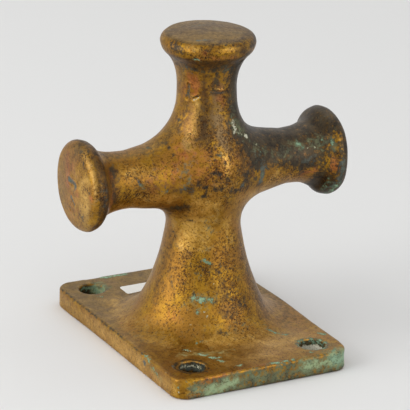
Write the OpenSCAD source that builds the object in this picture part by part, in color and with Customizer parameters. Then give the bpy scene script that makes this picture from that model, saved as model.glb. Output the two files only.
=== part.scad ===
// Cross-shaped mooring bollard in cast bronze: a flared pedestal on a four-bolt deck plate carries
// a hub, from which a neck rises and two arms reach out, each ending in a mushroom-shaped head.
// The plate's underside lies on z = 0, the post stands on the Z axis, and the arms lie along X.

/* [Overall] */
// Height from the deck to the crown of the top head
height = 200; // [185:1:230]
// Width over the crowns of the two side heads
width = 180; // [165:1:210]
// Height of the arms' axis above the deck
arm_z = 111.5; // [104:0.5:122]

/* [Base plate] */
// Width of the plate, along the arms
plate_w = 120; // [112:1:160]
// Length of the plate, across the arms
plate_l = 171; // [150:1:220]
// Thickness of the plate
plate_t = 13; // [8:0.5:18]
// Radius of the plate's corners, seen from above
plate_corner_r = 10; // [4:0.5:14]
// Rounding along the plate's edges
plate_edge_r = 1.5; // [0.5:0.25:3]
// Diameter of the four bolt holes
bolt_hole_d = 16.5; // [11:0.5:20]
// Distance between bolt holes, along the arms
bolt_spacing_x = 83; // [76:0.5:92]
// Distance between bolt holes, across the arms
bolt_spacing_y = 136; // [118:0.5:146]
// Width of the bevel round each bolt hole's mouth
bolt_bevel = 0.5; // [0.2:0.1:1.5]

/* [Pedestal] */
// Radius that the flare reaches at the plate
foot_r = 45.5; // [38:0.5:50]
// How late the flare opens out: a higher power keeps the stem slim for longer
foot_power = 2.3; // [1.6:0.1:3]
// Radius of the pedestal's waist, under the arms
waist_r = 22.2; // [18:0.1:26]
// Height of the waist
waist_z = 97.5; // [88:0.5:100]
// Height of the fillet that runs the flare out onto the plate
cove_h = 5; // [3:0.5:7]
// Thickness left at the fillet's outer edge
cove_lip = 0.2; // [0.1:0.05:0.5]

/* [Cored hollow] */
// Wall of metal between the hollow and the pedestal's outside
core_wall = 10; // [7:0.5:13]
// Metal left between the hollow's dome and the hub
core_roof = 9; // [6:0.5:14]
// Height of the hollow's dome
core_dome_h = 9; // [5:0.5:14]
// How much the hollow widens on its way down through the plate
core_draft = 1; // [0.5:0.25:2]

/* [Hub] */
// Radius that the arms' taper would reach at the post's axis
arm_root_r = 27; // [24:0.5:32]
// Reach of the soft fillet between the pedestal and the undersides of the arms
blend_low = 16; // [12:0.5:22]
// Reach of the soft fillet between the neck and the tops of the arms
blend_high = 21.5; // [14:0.5:24]

/* [Neck and arms] */
// Smallest radius of the neck, between hub and top head
neck_r = 18.1; // [15:0.1:21]
// Height of the neck's smallest radius
neck_z = 161; // [152:0.5:168]
// Smallest radius of an arm
arm_neck_r = 17.4; // [14:0.1:20]
// Distance from the post's axis to an arm's smallest radius
arm_neck_x = 54; // [48:0.5:60]
// How fast an arm tapers from the hub: 1 is a straight taper
arm_power = 1.1; // [1:0.1:2]

/* [Heads] */
// Radius of the top head
top_head_r = 29.3; // [26:0.1:33]
// Radius of the side heads
side_head_r = 28.3; // [26:0.1:32]
// Radius of the crease under the top head
top_crease_r = 25; // [21:0.1:26]
// Radius of the crease behind a side head
side_crease_r = 22; // [20:0.1:25]
// How late the neck and the arms open out towards their heads
crease_power = 2.8; // [2:0.1:4]
// Depth of the rounding between crease and rim
rim_back = 6.2; // [4:0.1:8]
// Depth of the rounding between rim and face
rim_front = 6.4; // [4:0.1:8]
// Radius of the heads' nearly flat faces
face_r = 22.2; // [18:0.1:24]
// Height of the crown on each face
crown_h = 1.5; // [0.5:0.25:3]

/* [Paper label] */
// Length of the label, along the arms
label_w = 30; // [20:1:36]
// Depth of the label
label_d = 12.5; // [8:0.5:16]
// Thickness of the label
label_t = 0.2; // [0.1:0.05:0.4]
// Radius of the label's corners
label_corner_r = 2; // [1:0.25:4]
// Distance from the post's axis to the label's left edge, along the arms
label_left = 25.5; // [20:0.5:28]
// Clear strip between the foot's fillet and the label
label_gap = 1.5; // [0.5:0.25:5]

/* [Hidden] */
$fn = 96;

bronze = "#8f6c35";
bronze_gold = "#a5813f";
bronze_dark = "#4d4436";
paper = "#f2f1ec";

// Steps along a turned outline, along a small rounding, and round the hub's limbs
long_steps = 16;
round_steps = 8;
limb_sides = 48;
limb_rings = 10;
// Halvings in the search for the hub's skin, and the grid that its points are rounded to, so that
// the limbs share their border points exactly
skin_tries = 16;
skin_grid = 0.0001;

// Plain metal left between the end of the soft fillet and each joint of the hub
land = 1;
// How far a cutting shape runs past the face that it cuts
past = 1;

// The crease under each head, measured along its own axis
top_crease_z = height - crown_h - rim_front - rim_back;
side_crease_x = width / 2 - crown_h - rim_front - rim_back;

// The flat joints between the hub and its neighbours
blend_most = max(blend_low, blend_high);
hub_x = waist_r + blend_most + land;
hub_rise = sqrt(pow(arm_root_r + blend_most, 2) - pow(neck_r, 2)) + land;
hub_low_z = arm_z - hub_rise;
hub_top_z = arm_z + hub_rise;
// A distance from the centre of the cross that lies just outside the hub's skin
hub_far = norm([max(hub_x, hub_rise), max(waist_r, arm_root_r)]);

function ease(u) = u * u * (3 - 2 * u);

// Radius of the post at a height: flare below the waist, straight up to the arms' axis, taper up to
// the neck, then the cove that opens out to the top head
function flare_r(z) =
    waist_r + (foot_r - waist_r) * pow((waist_z - z) / (waist_z - plate_t), foot_power);
function taper_r(z) = waist_r + (neck_r - waist_r) * ease(max(z - arm_z, 0) / (neck_z - arm_z));
function neck_cove_r(z) =
    neck_r + (top_crease_r - neck_r) * pow((z - neck_z) / (top_crease_z - neck_z), crease_power);
function post_r(z) = z < waist_z ? flare_r(z) : z < neck_z ? taper_r(z) : neck_cove_r(z);

// Radius of an arm at a distance from the post's axis
function arm_taper_r(x) = arm_neck_r + (arm_root_r - arm_neck_r) * pow(1 - x / arm_neck_x, arm_power);
function arm_cove_r(x) =
    arm_neck_r
    + (side_crease_r - arm_neck_r) * pow((x - arm_neck_x) / (side_crease_x - arm_neck_x), crease_power);
function arm_r(x) = x < arm_neck_x ? arm_taper_r(x) : arm_cove_r(x);

// Evenly spaced values from one end to the other
function steps(from, to, count) = [for (i = [0 : count]) from + (to - from) * i / count];

// The fillet that is tangent to the flare, and nearly tangent to the plate
cove_z = plate_t + cove_h;
cove_slope = foot_power * (foot_r - waist_r) / (waist_z - plate_t)
    * pow((waist_z - cove_z) / (waist_z - plate_t), foot_power - 1);
cove_tilt = atan(cove_slope);
cove_r = cove_h / (1 - sin(cove_tilt));
cove_centre = [flare_r(cove_z) + cove_r * cos(cove_tilt), plate_t + cove_r];
cove_end = 270 - acos(1 - cove_lip / cove_r);
foot_edge_r = cove_centre.x + cove_r * cos(cove_end);

// The hollow left by the core, open at the underside
core_top_z = hub_low_z - core_roof;
core_spring_z = core_top_z - core_dome_h;
function core_r(z) = flare_r(z) - core_wall;

// A solid turned on the Z axis, from an outline of [radius, height] points
module turned(outline) rotate_extrude() polygon(outline);

// A flat-ended turned member: the outline runs up between two heights and closes on the axis
module turned_between(outline, low, high) turned(concat([[0, low]], outline, [[0, high]]));

// Lays a shape that is drawn up the Z axis along the arms' axis, towards +X or -X
module along_arms(side) translate([0, 0, arm_z]) rotate([0, side * 90, 0]) children();

// A plate's cross-section, with its four edges rounded
module slab_section(across) {
    corner = [across / 2 - plate_edge_r, plate_t / 2 - plate_edge_r];
    polygon([for (quarter = [0 : 3], a = steps(0, 90, round_steps))
        let (side = [quarter == 0 || quarter == 3 ? 1 : -1, quarter < 2 ? 1 : -1])
        [side.x * corner.x + plate_edge_r * cos(a + 90 * quarter),
         side.y * corner.y + plate_edge_r * sin(a + 90 * quarter) + plate_t / 2]]);
}

// A rectangular plate with rounded corners, whose top and bottom edges are rounded too
module rounded_slab() {
    inner = [plate_w - 2 * plate_corner_r, plate_l - 2 * plate_corner_r];
    rotate([90, 0, 0]) translate([0, 0, -inner.y / 2]) linear_extrude(inner.y) slab_section(plate_w);
    rotate([90, 0, 90]) translate([0, 0, -inner.x / 2]) linear_extrude(inner.x) slab_section(plate_l);
    for (x = [-1, 1], y = [-1, 1]) translate([x * inner.x / 2, y * inner.y / 2, 0])
        rotate_extrude() intersection() {
            slab_section(2 * plate_corner_r);
            square([plate_corner_r, plate_t]);
        }
}

// The space that the core leaves: a mouth through the plate, the pedestal's hollow and its dome
module core() {
    mouth_r = core_r(plate_t) + core_draft;
    dome_r = core_r(core_spring_z);
    wall = [for (z = steps(plate_t, core_spring_z, long_steps)) [core_r(z), z]];
    dome = [for (a = steps(0, 90, round_steps))
        [dome_r * cos(a), core_spring_z + core_dome_h * sin(a)]];
    turned(concat([[0, -past], [mouth_r, -past], [mouth_r, 0]], wall, dome));
}

module base_plate() color(bronze) difference() {
    rounded_slab();
    core();
    for (x = [-1, 1], y = [-1, 1]) translate([x * bolt_spacing_x / 2, y * bolt_spacing_y / 2, 0]) {
        translate([0, 0, -past]) cylinder(d = bolt_hole_d, h = plate_t + 2 * past);
        translate([0, 0, plate_t - bolt_bevel])
            cylinder(r1 = bolt_hole_d / 2, r2 = bolt_hole_d / 2 + bolt_bevel + past, h = bolt_bevel + past);
    }
}

module pedestal() color(bronze_gold) difference() {
    cove = [for (a = steps(cove_end, 180 + cove_tilt, round_steps))
        cove_centre + cove_r * [cos(a), sin(a)]];
    stem = [for (z = steps(cove_z, hub_low_z, long_steps)) [flare_r(z), z]];
    turned_between(concat([[foot_edge_r, plate_t]], cove, stem), plate_t, hub_low_z);
    core();
}

// The hub is one closed skin. A point on it is found along a ray from the centre of the cross,
// where the post's skin and the arms' skin, softened into each other, are passed.
function soft_min(a, b, reach) = min(a, b) - pow(max(reach - abs(a - b), 0), 2) / (4 * reach);
function blend_at(z) =
    blend_low + (blend_high - blend_low) * ease(max(0, min(1, 0.5 + z / (2 * arm_neck_r))));
function outside(p) =
    soft_min(norm([p.x, p.y]) - post_r(arm_z + p.z), norm([p.y, p.z]) - arm_r(abs(p.x)), blend_at(p.z));
function skin_distance(ray, near, far, tries = skin_tries) =
    let (middle = (near + far) / 2)
    tries == 0 ? middle
    : outside(ray * middle) < 0 ? skin_distance(ray, middle, far, tries - 1)
    : skin_distance(ray, near, middle, tries - 1);

// The limbs are 0 towards +X, 1 towards -X, 2 up and 3 down. A point given in a limb's own terms,
// [along the limb, across it in Y, across it in the cross's plane], is turned into the hub's.
function limb_point(limb, p) =
    limb == 0 ? p : limb == 1 ? [-p.x, p.y, p.z] : limb == 2 ? [p.z, p.y, p.x] : [p.z, p.y, -p.x];
function on_grid(p) = [for (v = p) round(v / skin_grid) * skin_grid];

// Rings of one limb, from its flat joint to the border that it shares with its neighbours
function limb_ring(limb, reach, end_r, ring) = [for (i = [0 : limb_sides - 1])
    let (a = 360 * i / limb_sides,
         end = [reach, end_r * cos(a), end_r * sin(a)],
         border = [abs(sin(a)), cos(a), sin(a)],
         share = ring / limb_rings,
         aim = (1 - share) * end / norm(end) + share * border / norm(border),
         ray = limb_point(limb, aim / norm(aim)))
    on_grid(ring == 0 ? limb_point(limb, end) : ray * skin_distance(ray, 0, hub_far))];

module hub() {
    ends = [[hub_x, arm_r(hub_x)], [hub_x, arm_r(hub_x)],
            [hub_rise, post_r(hub_top_z)], [hub_rise, post_r(hub_low_z)]];
    points = [for (limb = [0 : 3], ring = [0 : limb_rings])
        each limb_ring(limb, ends[limb][0], ends[limb][1], ring)];
    per_limb = (limb_rings + 1) * limb_sides;
    function at(limb, ring, i) = limb * per_limb + ring * limb_sides + i % limb_sides;
    // The first and the last limb keep their own handedness; the other two are mirror images
    function reversed(face) = [for (i = [len(face) - 1 : -1 : 0]) face[i]];
    function facing(limb, face) = limb == 0 || limb == 3 ? face : reversed(face);
    sides = [for (limb = [0 : 3], ring = [0 : limb_rings - 1], i = [0 : limb_sides - 1], half = [0, 1])
        facing(limb, half == 0
            ? [at(limb, ring, i), at(limb, ring, i + 1), at(limb, ring + 1, i)]
            : [at(limb, ring, i + 1), at(limb, ring + 1, i + 1), at(limb, ring + 1, i)])];
    ends_closed = [for (limb = [0 : 3])
        facing(limb, [for (i = [limb_sides - 1 : -1 : 0]) at(limb, 0, i)])];
    color(bronze) translate([0, 0, arm_z]) polyhedron(points, concat(sides, ends_closed));
}

module neck() color(bronze_dark)
    turned_between([for (z = steps(hub_top_z, top_crease_z, long_steps)) [post_r(z), z]],
        hub_top_z, top_crease_z);

// An arm, drawn upright from its joint at the hub to the crease behind its head
module arm() turned_between([for (x = steps(hub_x, side_crease_x, long_steps)) [arm_r(x), x]],
    hub_x, side_crease_x);

// A mushroom head, drawn upright from its crease: a rounded rim and a nearly flat, crowned face
module head(crease_z, crease_r, rim_r) {
    rim_z = crease_z + rim_back;
    face_z = rim_z + rim_front;
    back = [for (a = steps(0, 90, round_steps))
        [crease_r + (rim_r - crease_r) * sin(a), rim_z - rim_back * cos(a)]];
    front = [for (a = steps(0, 90, round_steps))
        [face_r + (rim_r - face_r) * cos(a), rim_z + rim_front * sin(a)]];
    crown = [for (u = steps(1, 0, round_steps)) [face_r * u, face_z + crown_h * (1 - u * u)]];
    turned(concat([[0, crease_z]], back, front, crown));
}

module top_head() color(bronze_gold) head(top_crease_z, top_crease_r, top_head_r);
module left_arm() color(bronze) along_arms(-1) arm();
module left_head() color(bronze_gold) along_arms(-1) head(side_crease_x, side_crease_r, side_head_r);
module right_arm() color(bronze_dark) along_arms(1) arm();
module right_head() color(bronze_dark) along_arms(1) head(side_crease_x, side_crease_r, side_head_r);

// A blank paper label that lies on the plate behind the foot
module paper_label() color(paper)
    translate([-label_left, foot_edge_r + label_gap, plate_t]) linear_extrude(label_t) {
        translate([label_corner_r, 0]) square([label_w - 2 * label_corner_r, label_d]);
        translate([0, label_corner_r]) square([label_w, label_d - 2 * label_corner_r]);
        for (x = [label_corner_r, label_w - label_corner_r], y = [label_corner_r, label_d - label_corner_r])
            translate([x, y]) circle(label_corner_r);
    }

base_plate();
pedestal();
hub();
neck();
top_head();
left_arm();
left_head();
right_arm();
right_head();
paper_label();
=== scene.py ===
import math

import bmesh
import bpy
import numpy as np
from mathutils import Matrix, Vector, noise
from mathutils.bvhtree import BVHTree


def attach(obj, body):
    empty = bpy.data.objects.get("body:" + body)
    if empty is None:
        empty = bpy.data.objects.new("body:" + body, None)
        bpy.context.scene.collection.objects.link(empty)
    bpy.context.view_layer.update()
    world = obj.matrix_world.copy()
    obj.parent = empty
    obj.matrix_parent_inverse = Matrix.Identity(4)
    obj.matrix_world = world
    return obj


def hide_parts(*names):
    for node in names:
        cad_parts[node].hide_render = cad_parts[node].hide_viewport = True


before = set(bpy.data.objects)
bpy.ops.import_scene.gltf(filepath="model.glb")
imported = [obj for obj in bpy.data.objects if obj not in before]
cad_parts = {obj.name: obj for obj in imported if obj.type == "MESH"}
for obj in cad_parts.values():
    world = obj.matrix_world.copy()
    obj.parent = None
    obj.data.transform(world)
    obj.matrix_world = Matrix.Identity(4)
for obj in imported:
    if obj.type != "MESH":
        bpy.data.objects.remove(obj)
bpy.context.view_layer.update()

# The camera stands where the photographer stood, front left of the bollard and looking down at it,
# far enough away that the plate's edges stay nearly parallel.
MM = 0.001
camera_azimuth = -28.456
camera_elevation = 20.263
camera_roll = 1.632
camera_distance = 1709.18
camera_aim = Vector((1.908, 1.491, 86.013))
camera_lens = 243.35

camera = bpy.data.objects.new("camera", bpy.data.cameras.new("camera"))
bpy.context.scene.collection.objects.link(camera)
bpy.context.scene.camera = camera
camera.data.lens = camera_lens
camera.data.sensor_width = 36.0
camera.data.clip_start = 0.05
camera.data.clip_end = 20.0
camera_turn = (
    Matrix.Rotation(math.radians(camera_azimuth), 4, "Z")
    @ Matrix.Rotation(math.radians(90 - camera_elevation), 4, "X")
    @ Matrix.Rotation(math.radians(camera_roll), 4, "Z")
)
camera_back = camera_turn.to_3x3() @ Vector((0, 0, 1))
camera.matrix_world = Matrix.Translation((camera_aim + camera_distance * camera_back) * MM) @ camera_turn

# The casting: the whole bollard is one sand casting in bronze, from a pattern of turned and planed wood.
# A post and a cross-arm are set on a plate, with soft fillets pressed into the corners. The pieces below
# are parted from this one skin, so no seam shows between them. First the post, which waists and tapers.
plate_t = 13.0
foot_r = 45.5
foot_power = 2.3
waist_r = 22.2
waist_z = 97.5
arm_z = 111.5
neck_r = 18.1
neck_z = 161.0
crease_power = 2.8
top_crease_r = 25.0
top_crease_z = 185.7


def ease(u):
    return u * u * (3 - 2 * u)


def post_r(z):
    flare = waist_r + (foot_r - waist_r) * (np.maximum(waist_z - z, 0) / (waist_z - plate_t)) ** foot_power
    taper = waist_r + (neck_r - waist_r) * ease(np.clip((z - arm_z) / (neck_z - arm_z), 0, 1))
    cove_rise = np.maximum(z - neck_z, 0) / (top_crease_z - neck_z)
    return np.where(z < waist_z, flare, taper + (top_crease_r - neck_r) * cove_rise**crease_power)


# The cross-arm thins from the hub to a neck on each side, and flares again to the crease of its head.
arm_root_r = 27.0
arm_neck_r = 17.4
arm_neck_x = 54.0
arm_power = 1.1
side_crease_r = 22.0
side_crease_x = 75.7


def arm_r(x):
    taper = arm_neck_r + (arm_root_r - arm_neck_r) * np.maximum(1 - x / arm_neck_x, 0) ** arm_power
    cove_rise = np.maximum(x - arm_neck_x, 0) / (side_crease_x - arm_neck_x)
    return taper + (side_crease_r - arm_neck_r) * cove_rise**crease_power


# All three heads are mushrooms: a rounded back, a rim, a shoulder, and a face with a slight crown.
top_rim_r = 29.3
side_rim_r = 28.3
rim_back = 6.2
rim_front = 6.6
face_r = 22.2
crown_h = 1.5
shoulder_power = 2.15


def mushroom(crease_r, crease_at, rim_r):
    turns = np.linspace(0, math.pi / 2, 10)
    rim_at = crease_at + rim_back
    face_at = rim_at + rim_front
    back = [(crease_r + (rim_r - crease_r) * math.sin(a), rim_at - rim_back * math.cos(a)) for a in turns]
    front = [
        (
            face_r + (rim_r - face_r) * max(math.cos(a), 0) ** (2 / shoulder_power),
            rim_at + rim_front * math.sin(a) ** (2 / shoulder_power),
        )
        for a in turns
    ]
    crown = [(face_r * u, face_at + crown_h * (1 - u * u)) for u in np.linspace(0.9, 0, 10)]
    return back + front + crown


def turned(outline):
    """Turns an outline of (radius, height) on the lathe."""
    made = bmesh.new()
    verts = [made.verts.new((r, 0, z)) for r, z in outline]
    edges = [made.edges.new(ends) for ends in zip(verts, verts[1:])]
    bmesh.ops.spin(
        made, geom=verts + edges, cent=(0, 0, 0), axis=(0, 0, 1), angle=math.tau, steps=144, use_merge=True
    )
    bmesh.ops.remove_doubles(made, verts=made.verts, dist=1e-4)
    bmesh.ops.recalc_face_normals(made, faces=made.faces)
    return made


# A sand core leaves the post's foot hollow: it is open below, and domed under the waist.
core_wall = 10.0
core_draft = 1.0
core_spring_z = 47.5
core_dome_h = 9.0

core_dome_r = float(post_r(core_spring_z)) - core_wall
core_mouth_r = float(post_r(plate_t)) - core_wall + core_draft
core_outline = [
    (core_dome_r * math.sin(a), core_spring_z + core_dome_h * math.cos(a))
    for a in np.linspace(0, math.pi / 2, 12)
]
core_outline += [(float(post_r(z)) - core_wall, z) for z in np.linspace(core_spring_z, plate_t, 20)[1:]]
post_outline = core_outline + [(core_mouth_r, 0.0), (foot_r, 0.0)]
post_outline += [(float(post_r(z)), z) for z in np.linspace(plate_t, top_crease_z, 120)]
post_outline += mushroom(top_crease_r, top_crease_z, top_rim_r)
post = turned(post_outline)

arm_outline = [(float(arm_r(x)), x) for x in np.linspace(0, side_crease_x, 60)]
arm_outline += mushroom(side_crease_r, side_crease_x, side_rim_r)
cross_arm = turned([(r, -x) for r, x in reversed(arm_outline)] + arm_outline[1:])
level_along_x = Matrix.Rotation(math.pi / 2, 3, "Y")
bmesh.ops.rotate(cross_arm, verts=cross_arm.verts, cent=(0, 0, 0), matrix=level_along_x)
bmesh.ops.translate(cross_arm, verts=cross_arm.verts, vec=(0, 0, arm_z))

# The plate is planed, with round corners, a rounded edge and four drilled bolt holes. Its middle is cut
# out under the post, whose own foot and core fill that place.
plate_w = 120.0
plate_l = 171.0
plate_corner_r = 10.0
plate_edge_r = 1.5
rim_margin = 4.0
bolt_hole_r = 8.25
bolt_x = 41.5
bolt_y = 68.0
bolt_bevel = 0.5
bolt_holes = [(x, y) for x in (-bolt_x, bolt_x) for y in (-bolt_y, bolt_y)]


def thicken(flat, height):
    raised = bmesh.ops.extrude_face_region(flat, geom=flat.faces[:])["geom"]
    risen = [v for v in raised if isinstance(v, bmesh.types.BMVert)]
    bmesh.ops.translate(flat, verts=risen, vec=(0, 0, height))
    bmesh.ops.recalc_face_normals(flat, faces=flat.faces)


slab = bmesh.new()
bmesh.ops.create_grid(slab, x_segments=1, y_segments=1, size=0.5)
bmesh.ops.scale(slab, verts=slab.verts, vec=(plate_w, plate_l, 1))
bmesh.ops.bevel(
    slab, geom=slab.verts[:], offset=plate_corner_r, affect="VERTICES", segments=16, profile=0.5, material=-1
)
bmesh.ops.delete(slab, geom=slab.faces[:], context="FACES_ONLY")
bmesh.ops.create_circle(slab, radius=foot_r - 4, segments=96)
for x, y in bolt_holes:
    bmesh.ops.create_circle(slab, radius=bolt_hole_r, segments=64, matrix=Matrix.Translation((x, y, 0)))
bmesh.ops.triangle_fill(slab, edges=slab.edges[:], use_beauty=True)
thicken(slab, plate_t)


def on_outer_rim(at):
    return abs(at.x) > plate_w / 2 - rim_margin or abs(at.y) > plate_l / 2 - rim_margin


def on_bolt_mouth(at):
    return at.z > plate_t - 1 and math.hypot(abs(at.x) - bolt_x, abs(at.y) - bolt_y) < bolt_hole_r + 0.1


for near, width, steps in ((on_outer_rim, plate_edge_r, 5), (on_bolt_mouth, bolt_bevel, 2)):
    level = [e for e in slab.edges if abs(e.verts[0].co.z - e.verts[1].co.z) < 1e-6]
    sharp = [e for e in level if e.calc_face_angle(0) > 1.2 and all(near(v.co) for v in e.verts)]
    bmesh.ops.bevel(slab, geom=sharp, offset=width, affect="EDGES", segments=steps, profile=0.5, material=-1)

# The three are moulded into one skin, with points every 0.7 mm.
skin_step = 0.7
pattern_mesh = bpy.data.meshes.new("pattern")
pattern = bpy.data.objects.new("pattern", pattern_mesh)
bpy.context.scene.collection.objects.link(pattern)
joined = bmesh.new()
for part in (slab, post, cross_arm):
    part.to_mesh(pattern_mesh)
    joined.from_mesh(pattern_mesh)
    part.free()
joined.to_mesh(pattern_mesh)
joined.free()
moulding = pattern.modifiers.new("moulding", "REMESH")
moulding.mode = "VOXEL"
moulding.voxel_size = skin_step
skin_mesh = bpy.data.meshes.new_from_object(pattern.evaluated_get(bpy.context.evaluated_depsgraph_get()))
bpy.data.objects.remove(pattern)
skin = bmesh.new()
skin.from_mesh(skin_mesh)
bpy.data.meshes.remove(skin_mesh)

# Sand and fillet putty round the edges a little, and the corners between the turned parts run out
# softly. The creases behind the heads are filled the most.
foot_fillet = 12.0
fillet_low = 16.0
fillet_high = 21.5
fillet_passes = 5
crease_reach = 7
crease_passes = 90


def soft_min(a, b, reach):
    return np.minimum(a, b) - np.maximum(reach - np.abs(a - b), 0) ** 2 / (4 * reach)


def outside(at):
    """How far a place lies outside the filleted casting, or inside it if less than nothing."""
    x, y, z = at.T
    rise = z - arm_z
    fillet = fillet_low + (fillet_high - fillet_low) * ease(np.clip(0.5 + rise / (2 * arm_neck_r), 0, 1))
    cross = soft_min(np.hypot(x, y) - post_r(z), np.hypot(y, rise) - arm_r(np.abs(x)), fillet)
    return soft_min(cross, z - plate_t, foot_fillet)


def places(made):
    return np.array([v.co for v in made.verts])


def move_to(made, at):
    for vert, co in zip(made.verts, at.tolist()):
        vert.co = co


def rub(verts, share):
    bmesh.ops.smooth_vert(skin, verts=verts, factor=share, use_axis_x=True, use_axis_y=True, use_axis_z=True)


rub(skin.verts, 0.5)
at = places(skin)
from_axis = np.hypot(at[:, 0], at[:, 1])
filleted = (np.abs(outside(at)) < 6) & (at[:, 2] > plate_t - 0.2) & (at[:, 2] < top_crease_z - 4)
filleted &= ((from_axis < 62) | (at[:, 2] > 40)) & (np.abs(at[:, 0]) < side_crease_x - 4)
moved = at[filleted]
for again in range(fillet_passes):
    here = outside(moved)
    slope = np.stack([(outside(moved + step) - here) / 0.01 for step in np.eye(3) * 0.01], axis=1)
    moved -= slope * (here / np.maximum((slope**2).sum(axis=1), 0.2))[:, None]
at[filleted] = moved
move_to(skin, at)
creases = [
    v
    for v in skin.verts
    if min(abs(v.co.z - top_crease_z), abs(abs(v.co.x) - side_crease_x)) < crease_reach and v.co.z > 60
]
for again in range(crease_passes):
    rub(creases, 0.5)
rub(skin.verts, 0.4)

# Hand moulding and fettling leave the casting a little out of true: at a centre, and as far as a reach
# round it, it stands off by a shift or swells. Ripples run over all of it. The underside is planed flat.
out_of_true = [
    ((0, 0, 146), 24, (0.3, -0.15, 0), 0.0),
    ((73, -5, 90), 10, (-1.4, 0, -0.9), 0.0),
    ((60, -82, 8), 14, (-1.6, 0.3, 0), 0.0),
    ((-60, 66, 8), 34, (-1.1, 0, 0), 0.0),
    ((60, 0, 10), 28, (0.7, 0, 0.3), 0.0),
    ((26, -14, 48), 28, (0, 0, 0), 0.6),
    ((16, -9, 152), 16, (0, 0, 0), 0.5),
    ((-16, 9, 152), 16, (0, 0, 0), 0.5),
    ((-45, -3, 94), 14, (0, 0, 0), 0.5),
    ((74, 0, 136), 8, (0, 0, 0), 0.6),
    ((84, -24, 112), 16, (0, 0, 0), -0.5),
    ((-33, -3, 137), 12, (0, 0, 0), -0.6),
]
planed_h = 4
swell_size = 24
swell_h = 0.35
ripple_size = 7
ripple_h = 0.12

skin.normal_update()
at = places(skin)
facing = np.array([v.normal for v in skin.verts])
lift = np.clip(at[:, 2] / planed_h, 0, 1)[:, None]
for centre, reach, shift, swell in out_of_true:
    share = np.exp(-2 * ((at - np.array(centre)) ** 2).sum(axis=1) / reach**2)[:, None]
    shift = np.array(shift, float)
    at += share * (shift * (1, 1, 0) + lift * (shift * (0, 0, 1) + swell * facing))
move_to(skin, at)
skin.normal_update()
for vert in skin.verts:
    swell = swell_h * noise.noise(vert.co / swell_size)
    swell += ripple_h * noise.noise(vert.co / ripple_size + Vector((5, 0, 0)))
    vert.co += vert.normal * (min(max(vert.co.z / planed_h, 0), 1) * swell)
casting_surface = BVHTree.FromBMesh(skin)

# Aged cast bronze: a golden-brown patina over yellow metal, worn bright where rope ran, nearly black
# where wet rope lay, with red copper, green verdigris and pale lime in places. Metal and thin patina
# glint softly, while lime and verdigris are matt crusts. An old coat of wax lies thinly over all.


def linear(code):
    parts = [int(code[i : i + 2], 16) / 255 for i in (1, 3, 5)]
    return [c / 12.92 if c <= 0.04045 else ((c + 0.055) / 1.055) ** 2.4 for c in parts] + [1.0]


def add_node(tree, kind, inputs, **settings):
    made = tree.nodes.new(kind)
    for name, value in settings.items():
        setattr(made, name, value)
    for name, value in inputs.items():
        if isinstance(value, bpy.types.NodeSocket):
            tree.links.new(value, made.inputs[name])
        else:
            made.inputs[name].default_value = value
    return made


aged_bronze = bpy.data.materials.new("aged_cast_bronze")
aged_bronze.use_nodes = True
tree = aged_bronze.node_tree
shader = tree.nodes["Principled BSDF"]
where = add_node(tree, "ShaderNodeTexCoord", {}).outputs["Object"]

# Each film of the finish has a level at each point of the skin, which the sections below set.
levels = {}
for film in (
    "olive", "tan", "polish_and_painted_light", "copper", "brown", "pits", "tarnish", "sage", "slate", "bloom", "verdigris",
    "chalk",
):
    skin.verts.layers.float.new(film)
    levels[film] = add_node(tree, "ShaderNodeAttribute", {}, attribute_name=film).outputs["Fac"]

# Sizes in millimetres, with detail, roughness and twist: stains, blotches and mottling of the patina,
# pocks, and specks. Casting sand is about 0.3 mm, so its specks are drawn four times as coarse to show.
noises = {}
for name, (size_mm, detail, rough, twist) in {
    "stain": (18, 2.0, 0.55, 0.0),
    "blotch": (6, 4.0, 0.6, 0.6),
    "mottle": (2.4, 4.0, 0.65, 0.0),
    "speck": (1.25, 3.0, 0.7, 0.0),
    "pock": (2.6, 5.0, 0.75, 0.0),
    "pepper": (1.3, 4.0, 0.8, 0.0),
}.items():
    shape = {"Scale": 1000 / size_mm, "Detail": detail, "Roughness": rough, "Distortion": twist}
    noises[name] = add_node(tree, "ShaderNodeTexNoise", {"Vector": where, **shape}).outputs["Fac"]


def mask(level, added, low, high):
    """Rises from 0 to 1 while the level, with shares of other patterns added, goes from low to high."""
    for pattern, share in added:
        level = add_node(
            tree, "ShaderNodeMath", {0: pattern, 1: share, 2: level}, operation="MULTIPLY_ADD"
        ).outputs[0]
    return add_node(
        tree, "ShaderNodeMapRange", {"Value": level, "From Min": low, "From Max": high},
        interpolation_type="SMOOTHSTEP",
    ).outputs["Result"]


stained = mask(noises["stain"], [], 0.42, 0.62)
blotched = mask(noises["blotch"], [], 0.3, 0.7)
mottled = mask(noises["mottle"], [], 0.3, 0.7)
speckled = mask(noises["speck"], [], 0.35, 0.65)
peppered = mask(noises["pepper"], [(levels["pits"], -0.08), (blotched, 0.05)], 0.355, 0.515)
fine_pits = mask(noises["speck"], [(levels["pits"], 0.09), (blotched, 0.03)], 0.62, 0.71)
large_pits = mask(noises["pock"], [(levels["pits"], 0.09), (blotched, 0.03)], 0.67, 0.74)
pitted = add_node(tree, "ShaderNodeMath", {0: fine_pits, 1: large_pits}, operation="MAXIMUM").outputs[0]


def frayed(film, share, low, high, by=mottled):
    """Where a film lies, with its edge broken up by the mottling or another pattern."""
    return mask(levels[film], [(by, share)], low, high)


bloomed = frayed("bloom", 0.3, 0.5, 1.1)
crusted = frayed("verdigris", 0.6, 0.6, 1.4)
limed = frayed("chalk", 0.4, 0.7, 1.2, speckled)

colour = add_node(
    tree, "ShaderNodeMix", {0: blotched, 6: linear("#875e16"), 7: linear("#aa7f1f")}, data_type="RGBA"
).outputs[2]
colour = add_node(
    tree, "ShaderNodeMix", {0: stained, 6: colour, 7: linear("#966a24")}, data_type="RGBA"
).outputs[2]
metal = 0.88
dull = 0.40
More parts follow.
